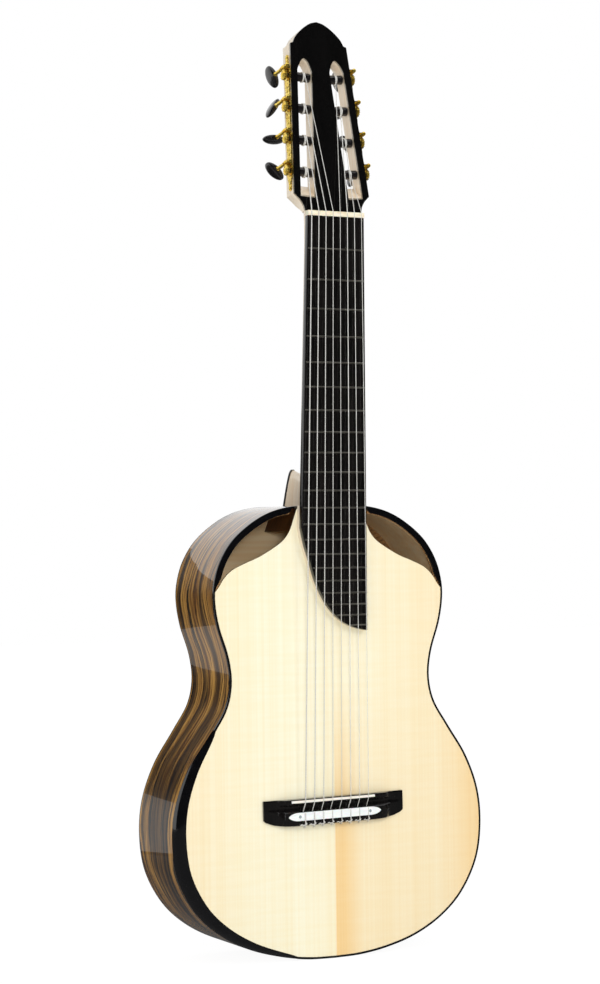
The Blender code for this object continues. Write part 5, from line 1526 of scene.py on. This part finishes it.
    def worm(self):
        """Ball, collars, journals, thread and beaded shaft, along Y."""
        core = WORM_PITCH_RADIUS - WORM_CORE_DEPTH
        crest = WORM_PITCH_RADIUS + THREAD_HEIGHT
        ball = 1.5 * JOURNAL_RADIUS
        front = -LUG_START - LUG_THICKNESS - LUG_CLEARANCE
        centre = front - 0.95 * ball
        profile = []
        for k in range(9):
            angle = math.pi * k / 10
            profile.append((centre - 0.95 * ball * math.cos(angle), ball * math.sin(angle)))
        profile += [(front - 0.0001, JOURNAL_RADIUS * 1.05), (front, JOURNAL_RADIUS),
                    (-LUG_START + GAP, JOURNAL_RADIUS), (-LUG_START + GAP, core),
                    (LUG_START - GAP, core), (LUG_START - GAP, JOURNAL_RADIUS)]
        rear = LUG_START + LUG_THICKNESS + GAP
        end = WORM_SHAFT_LENGTH - ROLLER_DEPTH
        profile.append((rear, JOURNAL_RADIUS))
        run = (end - 0.0006 - rear) / 5
        for k in range(5):
            start, full = rear + run * k, 1.0 if k % 2 == 0 else 0.88
            for share, size in ((0.10, 1.05), (0.30, 1.34), (0.50, 1.42), (0.70, 1.34), (0.90, 1.05)):
                profile.append((start + run * share, JOURNAL_RADIUS * size * full))
        profile += [(end - 0.0004, JOURNAL_RADIUS * 1.5), (end, JOURNAL_RADIUS * 1.5)]
        spindle = turned(profile, 28, "Y")
        per_turn = 36
        count = int(THREAD_TURNS * per_turn)
        rings = []
        for i in range(count + 1):
            angle = math.pi + 2 * math.pi * (i - count / 2) / per_turn
            along = THREAD_LEAD * (i - count / 2) / per_turn
            shape = ((-THREAD_BASE, 0.75 * core), (-THREAD_BASE / 2, crest), (THREAD_BASE / 2, crest),
                     (THREAD_BASE, 0.75 * core))
            rings.append([axis_point("Y", along + shift, radius, angle) for shift, radius in shape])
        return joined([spindle, loft(rings)])

    def button(self):
        """An oval button, fuller in the middle, with its shaft side flat at Y = 0."""
        rounds, rows = 36, 20
        rings = []
        for r in range(rows + 1):
            t = r / rows
            share = 0.5 - 0.5 * math.cos(math.pi * t)
            width = max(1.0 - abs(2.0 * share * 0.93 - 1.0) ** 2.6, 0.0) ** 0.5
            width = max(width, 0.22 if r == 0 else 0.02)
            ring = []
            for i in range(rounds):
                angle = 2 * math.pi * i / rounds
                wide = math.copysign(abs(math.cos(angle)) ** 0.85, math.cos(angle))
                thick = (BUTTON_THICKNESS / 2 * math.sin(angle) * (0.5 + 0.5 * width)
                         * min(1.0, 3 * width))
                ring.append((thick, BUTTON_LENGTH * share, BUTTON_WIDTH / 2 * wide * width))
            rings.append(ring)
        return loft(rings)

    def make(self):
        engraved = gold_plate("engraved gold plating", True)
        plain = gold_plate("smooth gold plating", False)
        black = moulded_black("black roller resin", 0.25)
        ebonite = moulded_black("black button resin", 0.22)
        for name, side in SIDES.items():
            local = side_frame(side)
            plate = moved(self.plate(side), local)
            show("tuner_plate_" + name, plate, engraved,
                 stands_for=["machine_plate_" + name])
            show("plate_scrolls_" + name, moved(self.scrolls(side), local), plain)
            show("plate_screws_" + name, moved(self.screws(side, plain), local), plain)
            for k in range(ROLLER_COUNT):
                label = "%s_%d" % (name, k + 1)
                axis = local @ at(0.0, ROLLER_DEPTH, roller_height(k))
                facing = axis @ Matrix.Rotation(0.0 if side > 0 else math.pi, 4, "Y")
                show("barrel_" + label, moved(self.roller(), facing), black,
                     "roller_" + label, ["roller_" + label])
                show("wheel_" + label, moved(self.wheel(), facing), plain,
                     "roller_" + label)
                above = axis @ at(side * GEAR_CENTRE, 0.0, WORM_ABOVE_ROLLER)
                show("worm_" + label, moved(self.worm(), above), plain, "knob_" + label,
                     ["worm_shaft_" + label])
                turn = math.radians(BUTTON_TURNS[k + (0 if side < 0 else ROLLER_COUNT)])
                end = at(0.0, WORM_SHAFT_LENGTH - ROLLER_DEPTH + GAP / 3, 0.0)
                place = above @ end @ Matrix.Rotation(turn, 4, "Y")
                show("tuner_button_" + label, moved(self.button(), place), ebonite,
                     "knob_" + label, ["button_" + label], 60.0)


class GUITAR_OT_bridge(Builder, bpy.types.Operator):
    """Builds the ebony bridge with its white tie plate and the two pearl dots."""
    bl_idname = "guitar.bridge"
    bl_label = "Bridge"

    def make(self):
        half, block = BRIDGE_LENGTH / 2, BRIDGE_BLOCK_LENGTH / 2
        front, end = BRIDGE_FRONT, -TIE_BLOCK_END
        # Across the bridge from its front edge to its rear edge, at the full block height
        ridge, tie = -SADDLE_RIDGE_HEIGHT, -TIE_BLOCK_HEIGHT
        cross = [(front, 0.0), (front, -0.0030), (front - 0.0003, ridge + 0.0009),
                 (front - 0.0012, ridge + 0.0001), (front - 0.0020, ridge), (-0.0022, ridge),
                 (-0.0030, ridge + 0.0004), (-0.0036, ridge + 0.0016),
                 (-0.0043, -CHANNEL_HEIGHT - 0.0010), (-0.0050, -CHANNEL_HEIGHT - 0.0002),
                 (-0.0060, -CHANNEL_HEIGHT),
                 (-TIE_BLOCK_START + 0.0010, -CHANNEL_HEIGHT),
                 (-TIE_BLOCK_START + 0.0002, -CHANNEL_HEIGHT - 0.0006),
                 (-TIE_BLOCK_START, tie + 0.0005), (-TIE_BLOCK_START - 0.0005, tie),
                 (end + 0.0014, tie), (end + 0.0005, tie + 0.0005), (end, tie + 0.0014), (end, -0.0020),
                 (end, 0.0)]
        stops = [0.0, 0.60, 0.72, 0.86, 0.97, 1.0]
        drops = [1.0, 1.0, 0.98, 0.91, 0.78, 0.70]

        def rear(share):
            for a, b, u, v in zip(stops, stops[1:], drops, drops[1:]):
                if share <= b:
                    t = (share - a) / (b - a)
                    return (u + (v - u) * t) * end
            return drops[-1] * end

        rings = []
        for k in range(121):
            share = -1.0 + 2.0 * k / 120
            x = half * share
            fade = smooth_step(clamped((block + WING_SLOPE - abs(x)) / WING_SLOPE))
            low = -BRIDGE_WING_HEIGHT + 0.0008 * max(abs(share) - 0.8, 0.0) / 0.2
            back = rear(abs(share))
            ring = []
            for z, y in cross:
                if y == 0.0:
                    level = -GAP / 3
                else:
                    # The wings are rounded down over the last 1.2 mm to their edges
                    wing = max(low, y) + 0.0005 * max(1.0 - min(front - z, z - end) / 0.0012, 0.0)
                    level = min(wing + (y - wing) * fade, -GAP)
                ring.append((x, level, front + (z - front) * (back - front) / (end - front)))
            rings.append(ring)
        mesh = loft(rings)
        reach, wide = SADDLE_LENGTH / 2 + BORE_EASE, SADDLE_THICKNESS / 2 + BORE_EASE
        seat = prism(rectangle(reach, wide), -SADDLE_RIDGE_HEIGHT - 0.001, -SADDLE_SEAT)
        tools = [moved(seat, at(SADDLE_SHIFT, 0.0, 0.0))]
        for number in range(len(STRING_DIAMETERS)):
            hole = turned([(TIE_BLOCK_START - 0.001, TIE_HOLE_RADIUS * 0.8),
                           (TIE_BLOCK_END + 0.001, TIE_HOLE_RADIUS * 0.8)], 16, "Y")
            hole = moved(hole, Matrix.Rotation(-math.pi / 2, 4, "X"))
            x = string_x(number, SADDLE_STRING_SPREAD)
            tools.append(moved(hole, at(x, -TIE_HOLE_HEIGHT, 0.0)))
        mesh = cut(mesh, joined(tools))
        show("bridge_body", moved(mesh, BRIDGE), polished_ebony("bridge ebony", "#171313", 0.16, 0.7),
             stands_for=["bridge"], angle=40.0)

        middle = -TIE_PLATE_MIDDLE
        shifted = BRIDGE @ at(TIE_PLATE_SHIFT, 0.0, 0.0)
        reach, wide = TIE_PLATE_LENGTH / 2, TIE_PLATE_WIDTH / 2
        pointed = ((1.0, 0.0), (0.965, 0.42), (0.90, 0.78), (0.82, 0.97), (0.74, 1.0))
        right = smooth_through([(x * reach, z * wide) for x, z in pointed], 5)
        upper = mirrored([(x, middle + z) for x, z in right])
        plan = upper + [(x, 2 * middle - z) for x, z in reversed(upper[1:-1])]
        near = -TIE_BLOCK_HEIGHT - GAP / 3 - TIE_PLATE_THICKNESS
        white = polished_bone("polished white plate", "#FCFDFD", "#F1F4F4")
        plate = eased(prism(plan, near, near + TIE_PLATE_THICKNESS), 0.0003)
        show("white_tie_plate", moved(plate, shifted), white, stands_for=["tie_plate"])

        pearl = one_figure("grey pearl", 900.0, [(0.3, "#7F8E92"), (0.7, "#B9C6C8")], 0.0,
                           Roughness=0.2, IOR=1.6, Coat_Weight=0.5)
        dots = []
        for x in (-DOT_OFFSET, DOT_OFFSET):
            dot = turned([(-0.0004, 0.0), (-0.0004, 0.0016), (-0.0003, 0.0019), (0.0003, 0.0019),
                          (0.0003, 0.0)], 24, "Y")
            dots.append(moved(dot, at(x, near + 0.00035, middle)))
        show("tie_plate_dots", moved(joined(dots), shifted), pearl)


class GUITAR_OT_strings(Builder, bpy.types.Operator):
    """Strings the guitar: three clear nylon strings and five wound ones."""
    bl_idname = "guitar.strings"
    bl_label = "Strings"

    def tie(self, number):
        """The string's end at the bridge, from its free tip over the tie block to the saddle's top."""
        radius = STRING_DIAMETERS[number] / 2
        x = string_x(number, SADDLE_STRING_SPREAD)
        over = -(TIE_BLOCK_HEIGHT + TIE_PLATE_THICKNESS + GAP + radius)
        hole = -TIE_HOLE_HEIGHT
        back = -TIE_BLOCK_END - radius
        crown = -(SADDLE_HEIGHT + radius)
        shape = [(over, -TIE_BLOCK_START - 0.0012), (over, back + 0.0040), (over, back + 0.0012),
                 (over + 0.0008, back - 0.0004), (over + 0.0022, back - 0.0009),
                 (hole - 0.0012, back - 0.0008),
                 (hole - 0.0002, back + 0.0001), (hole, back + 0.0012),
                 (hole, -TIE_BLOCK_START - 0.0005),
                 (hole - 0.0001, -TIE_BLOCK_START + 0.0006), (hole - 0.0006, -TIE_BLOCK_START + 0.0016),
                 (crown + 0.0008, -SADDLE_THICKNESS / 2 - 0.0006), (crown + 0.0001, -0.0004)]
        return [BRIDGE @ Vector((x, y, z)) for y, z in shape]

    def knot(self, number):
        """The twist that locks the string at the block's rear edge, and its short free end."""
        radius = STRING_DIAMETERS[number] / 2
        x = string_x(number, SADDLE_STRING_SPREAD)
        over = -(TIE_BLOCK_HEIGHT + TIE_PLATE_THICKNESS * 0.4 + radius)
        back = -TIE_BLOCK_END + 0.0022
        shape = [(x + 0.0014, over + 0.0006, back + 0.0010), (x + 0.0012, over - 0.0010, back + 0.0002),
                 (x, over - 0.0018 - radius, back - 0.0004), (x - 0.0014, over - 0.0010, back - 0.0010),
                 (x - 0.0024, over - 0.0004, back - 0.0016), (x - 0.0042, over - 0.0003, back - 0.0006),
                 (x - 0.0062, over - 0.0005, back - 0.0012)]
        return smooth_through([BRIDGE @ Vector(p) for p in shape], 5)

    def winding(self, number, nut_end):
        """The string's way from the nut to its roller and round the barrel."""
        strings = len(STRING_DIAMETERS)
        side = 1 if number < strings / 2 else -1
        k = number if side > 0 else strings - 1 - number
        local = side_frame(side)
        start = local.inverted() @ nut_end
        radius = BARREL_RADIUS + BORE_EASE + STRING_DIAMETERS[number] / 2
        axis = Vector((0.0, ROLLER_DEPTH, roller_height(k)))

        def on_barrel(angle, along, grow=0.0):
            reach = radius + grow
            return Vector((side * along, axis.y - reach * math.cos(angle),
                           axis.z + reach * math.sin(angle)))

        first = 0.0
        for _ in range(8):
            touch = on_barrel(first, 0.0)
            first = math.atan2(touch.y - start.y, touch.z - start.z)
        pitch = STRING_DIAMETERS[number] + TURN_GAP
        inner = -SLOT_WALL - FIRST_TURN
        route = []
        per_turn = 32
        count = int(fittings().winding_turns * per_turn)
        for i in range(count + 1):
            angle = first + 2 * math.pi * i / per_turn
            route.append(local @ on_barrel(angle, inner + pitch * i / per_turn))
        # The end rises off the barrel beside its own turns
        last = first + 2 * math.pi * count / per_turn
        for i in range(1, 7):
            angle = last + 0.16 * i
            along = inner + pitch * count / per_turn + 0.0005 * i
            route.append(local @ on_barrel(angle, along, 0.00030 * i * i / 2))
        return route

    def make(self):
        nylon = clear_nylon()
        wound = silvered_winding("silvered copper winding", "#FBFAF6")
        for number, diameter in enumerate(STRING_DIAMETERS):
            radius = diameter / 2
            x, level = string_x(number, NUT_STRING_SPREAD), string_level(number)
            nut_front, nut_end = Vector((x, level, -0.0002)), Vector((x, level, NUT_THICKNESS + 0.0003))
            tie = smooth_through(self.tie(number), 4)
            span = [tie[-1].lerp(nut_front, q / 24) for q in range(1, 24)]
            route = tie + span + [nut_front, nut_end] + self.winding(number, nut_end)
            mesh = joined([tube(route, radius), tube(self.knot(number), radius)])
            plain = number < PLAIN_STRINGS
            show("cord_%d" % (number + 1), mesh, nylon if plain else wound,
                 stands_for=["string_%d" % (number + 1)],
                 angle=80.0)


class GUITAR_OT_stage(Builder, bpy.types.Operator):
    """Sets the floor, the cards, the lamps and the camera at the photograph's view."""
    bl_idname = "guitar.stage"
    bl_label = "Stage"

    def camera(self):
        turn, tilt, roll = (math.radians(a) for a in (VIEW_TURN, VIEW_TILT, VIEW_ROLL))
        ahead = Vector((math.sin(turn) * math.cos(tilt), math.cos(turn) * math.cos(tilt),
                        -math.sin(tilt)))
        level_right = Vector((math.cos(turn), -math.sin(turn), 0.0))
        down = ahead.cross(level_right)
        right = level_right * math.cos(roll) + down * math.sin(roll)
        down = down * math.cos(roll) - level_right * math.sin(roll)
        lens = bpy.data.cameras.new("photo camera")
        lens.lens = VIEW_FOCAL_PIXELS * lens.sensor_width / max(FRAME_PIXELS)
        lens.clip_end = 50.0
        camera = put("photo camera", lens)
        basis = Matrix((right, -down, -ahead)).transposed().to_4x4()
        place = Vector(VIEW_TARGET) - ahead * VIEW_DISTANCE
        camera.matrix_world = Matrix.Translation(place) @ basis
        bpy.context.scene.camera = camera

    def lamp(self, name, place, aim, size, power):
        light = bpy.data.lights.new(name, "AREA")
        light.shape = "RECTANGLE"
        light.size, light.size_y = size
        light.energy = power
        lamp = put(name, light)
        lamp.location = place
        lamp.visible_glossy = False
        lamp.rotation_euler = (Vector(aim) - Vector(place)).to_track_quat("-Z", "Y").to_euler()

    def card(self, name, faces, strength):
        """A card that only polished faces see, in front of the white surroundings."""
        mesh = flat(faces)
        card = put(name, mesh)
        material, tree, shader, place = start_material(
            name + " card", Base_Color=(0, 0, 0, 1), Specular_IOR_Level=0.0, Emission_Strength=strength)
        cloud = figure(tree, place, (2.0, 2.0, 2.0), 1.0)
        tree.links.new(layered(tree, cloud, [(0.3, "#F2F2EF"), (0.7, "#FFFFFF")]),
                       shader.inputs["Emission Color"])
        mesh.materials.append(material)
        for kind in ("camera", "diffuse", "transmission", "volume_scatter", "shadow"):
            setattr(card, "visible_" + kind, False)

    def world(self, settings):
        """Plain white for the camera, for polish and through clear things; even light for the rest."""
        world = bpy.data.worlds.new("studio")
        bpy.context.scene.world = world
        world.use_nodes = True
        tree = world.node_tree
        tree.nodes.clear()
        path = add_node(tree, "ShaderNodeLightPath")
        seen = path.outputs["Is Camera Ray"]
        for ray in ("Is Glossy Ray", "Is Transmission Ray"):
            seen = add_node(tree, "ShaderNodeMath", {"operation": "MAXIMUM"},
                            {0: seen, 1: path.outputs[ray]}).outputs[0]
        even, white = [
            add_node(tree, "ShaderNodeBackground",
                     inputs={"Color": (1, 1, 1, 1), "Strength": strength}).outputs[0]
            for strength in (settings.sky, 1.0)]
        chosen = add_node(tree, "ShaderNodeMixShader", inputs={0: seen, 1: even, 2: white})
        add_node(tree, "ShaderNodeOutputWorld", inputs={"Surface": chosen})

    def floor(self, settings):
        """A pale floor that keeps the shadow, part of it plain white for the camera."""
        mesh = flat([[(x, z, CAD_BOX[0][2]) for x, z in rectangle(8, 8)]])
        floor = put("floor", mesh)
        material, tree, shader, place = start_material("pale painted floor", Roughness=0.9,
                                                       Specular_IOR_Level=0.0)
        toned = add_node(tree, "ShaderNodeMix", {"data_type": "RGBA"},
                         {0: figure(tree, place, (40.0, 40.0, 40.0), 3.0),
                          6: (*settings.floor_colour, 1.0), 7: (1.0, 1.0, 1.0, 1.0)})
        coloured(tree, shader, toned.outputs[2])
        path = add_node(tree, "ShaderNodeLightPath")
        share = add_node(tree, "ShaderNodeMath", {"operation": "MULTIPLY"},
                         {0: path.outputs["Is Camera Ray"], 1: settings.floor_glow})
        glow = add_node(tree, "ShaderNodeEmission",
                        inputs={"Color": (1, 1, 1, 1), "Strength": FLOOR_WHITE})
        mixed = add_node(tree, "ShaderNodeMixShader",
                         inputs={0: share, 1: shader, 2: glow})
        output = next(n for n in tree.nodes if n.type == "OUTPUT_MATERIAL")
        tree.links.new(mixed.outputs[0], output.inputs["Surface"])
        mesh.materials.append(material)
        floor.visible_glossy = False

    def make(self):
        settings = bpy.context.scene.guitar_stage
        bpy.context.scene.view_settings.view_transform = "Standard"
        self.world(settings)
        self.floor(settings)
        # Three cards behind the guitar, from the window's foot down to the floor
        back, low, reach = 0.55, CAD_BOX[0][2] + 0.001, 3.2
        side, window_foot, middle_foot, lower_foot = 1.5, -0.375, -0.585, -0.815
        gap = [(-side, window_foot), (-0.46, window_foot), (-0.38, -0.32), (-0.29, -0.23),
               (-0.20, -0.18), (0.02, -0.18), (0.3, window_foot), (side, window_foot),
               (side, middle_foot), (-side, middle_foot)]
        lower = [(-side, lower_foot), (side, lower_foot), (side, middle_foot), (-side, middle_foot)]
        foot = [(-side, low), (side, low), (side, lower_foot), (-side, lower_foot)]
        for name, outline, strength in (("middle", gap, settings.room), ("lower", lower, 0.42),
                                        ("foot", foot, settings.room)):
            self.card(name, [[(x, back, z) for x, z in outline]], strength)
        self.card("ground", [[(-3, -reach, low), (3, -reach, low), (3, 3, low), (-3, 3, low)]], 0.10)
        round_front = [(reach * math.cos(math.pi * k / 12), -reach * math.sin(math.pi * k / 12))
                       for k in range(13)]
        self.card("curtain", [[(*a, low), (*b, low), (*b, 3.0), (*a, 3.0)]
                               for a, b in zip(round_front, round_front[1:])], settings.room)
        self.card("strip", [[(-0.86, -2.5, -1.0), (-0.72, -2.5, -1.0), (-0.72, -2.5, 1.2),
                              (-0.86, -2.5, 1.2)]], 2.5)
        middle = (0.0, 0.0, -0.35)
        self.lamp("key softbox", (0.72, -2.35, 0.95), middle, (0.6, 0.6), settings.key_power)
        self.lamp("fill softbox", (-1.4, -2.2, 1.0), middle, (1.0, 1.0), settings.fill_power)
        self.lamp("front softbox", (-0.95, -2.35, -0.10), middle, (0.35, 0.35), settings.front_power)
        self.camera()


class GUITAR_PT_panel(bpy.types.Panel):
    """Lists the guitar's pieces in the sidebar."""
    bl_label = "Guitar"
    bl_idname = "GUITAR_PT_panel"
    bl_space_type = "VIEW_3D"
    bl_region_type = "UI"
    bl_category = "Guitar"

    def draw(self, context):
        for operator in OPERATORS:
            self.layout.operator(operator.bl_idname)
        for name, kind in GROUPS.items():
            for key in kind.__annotations__:
                self.layout.prop(getattr(context.scene, name), key)


OPERATORS = (GUITAR_OT_stage, GUITAR_OT_strings, GUITAR_OT_soundboard, GUITAR_OT_shell,
             GUITAR_OT_bindings, GUITAR_OT_inside, GUITAR_OT_neck, GUITAR_OT_fingerboard,
             GUITAR_OT_nut_and_saddle, GUITAR_OT_head, GUITAR_OT_tuning_machines, GUITAR_OT_bridge)
GROUPS = {"guitar_woods": GuitarWoods, "guitar_fittings": GuitarFittings, "guitar_stage": GuitarStage}


def register():
    for name, group in GROUPS.items():
        bpy.utils.register_class(group)
        setattr(bpy.types.Scene, name, bpy.props.PointerProperty(type=group))
    for item in OPERATORS + (GUITAR_PT_panel,):
        bpy.utils.register_class(item)


def unregister():
    for item in reversed(OPERATORS + (GUITAR_PT_panel,)):
        bpy.utils.unregister_class(item)
    for name, group in GROUPS.items():
        delattr(bpy.types.Scene, name)
        bpy.utils.unregister_class(group)


def main():
    register()
    for operator in OPERATORS:
        area, name = operator.bl_idname.split(".")
        result = getattr(getattr(bpy.ops, area), name)()
        if result != {"FINISHED"}:
            raise RuntimeError(operator.bl_label + " wasn't finished")


if __name__ == "__main__":
    main()
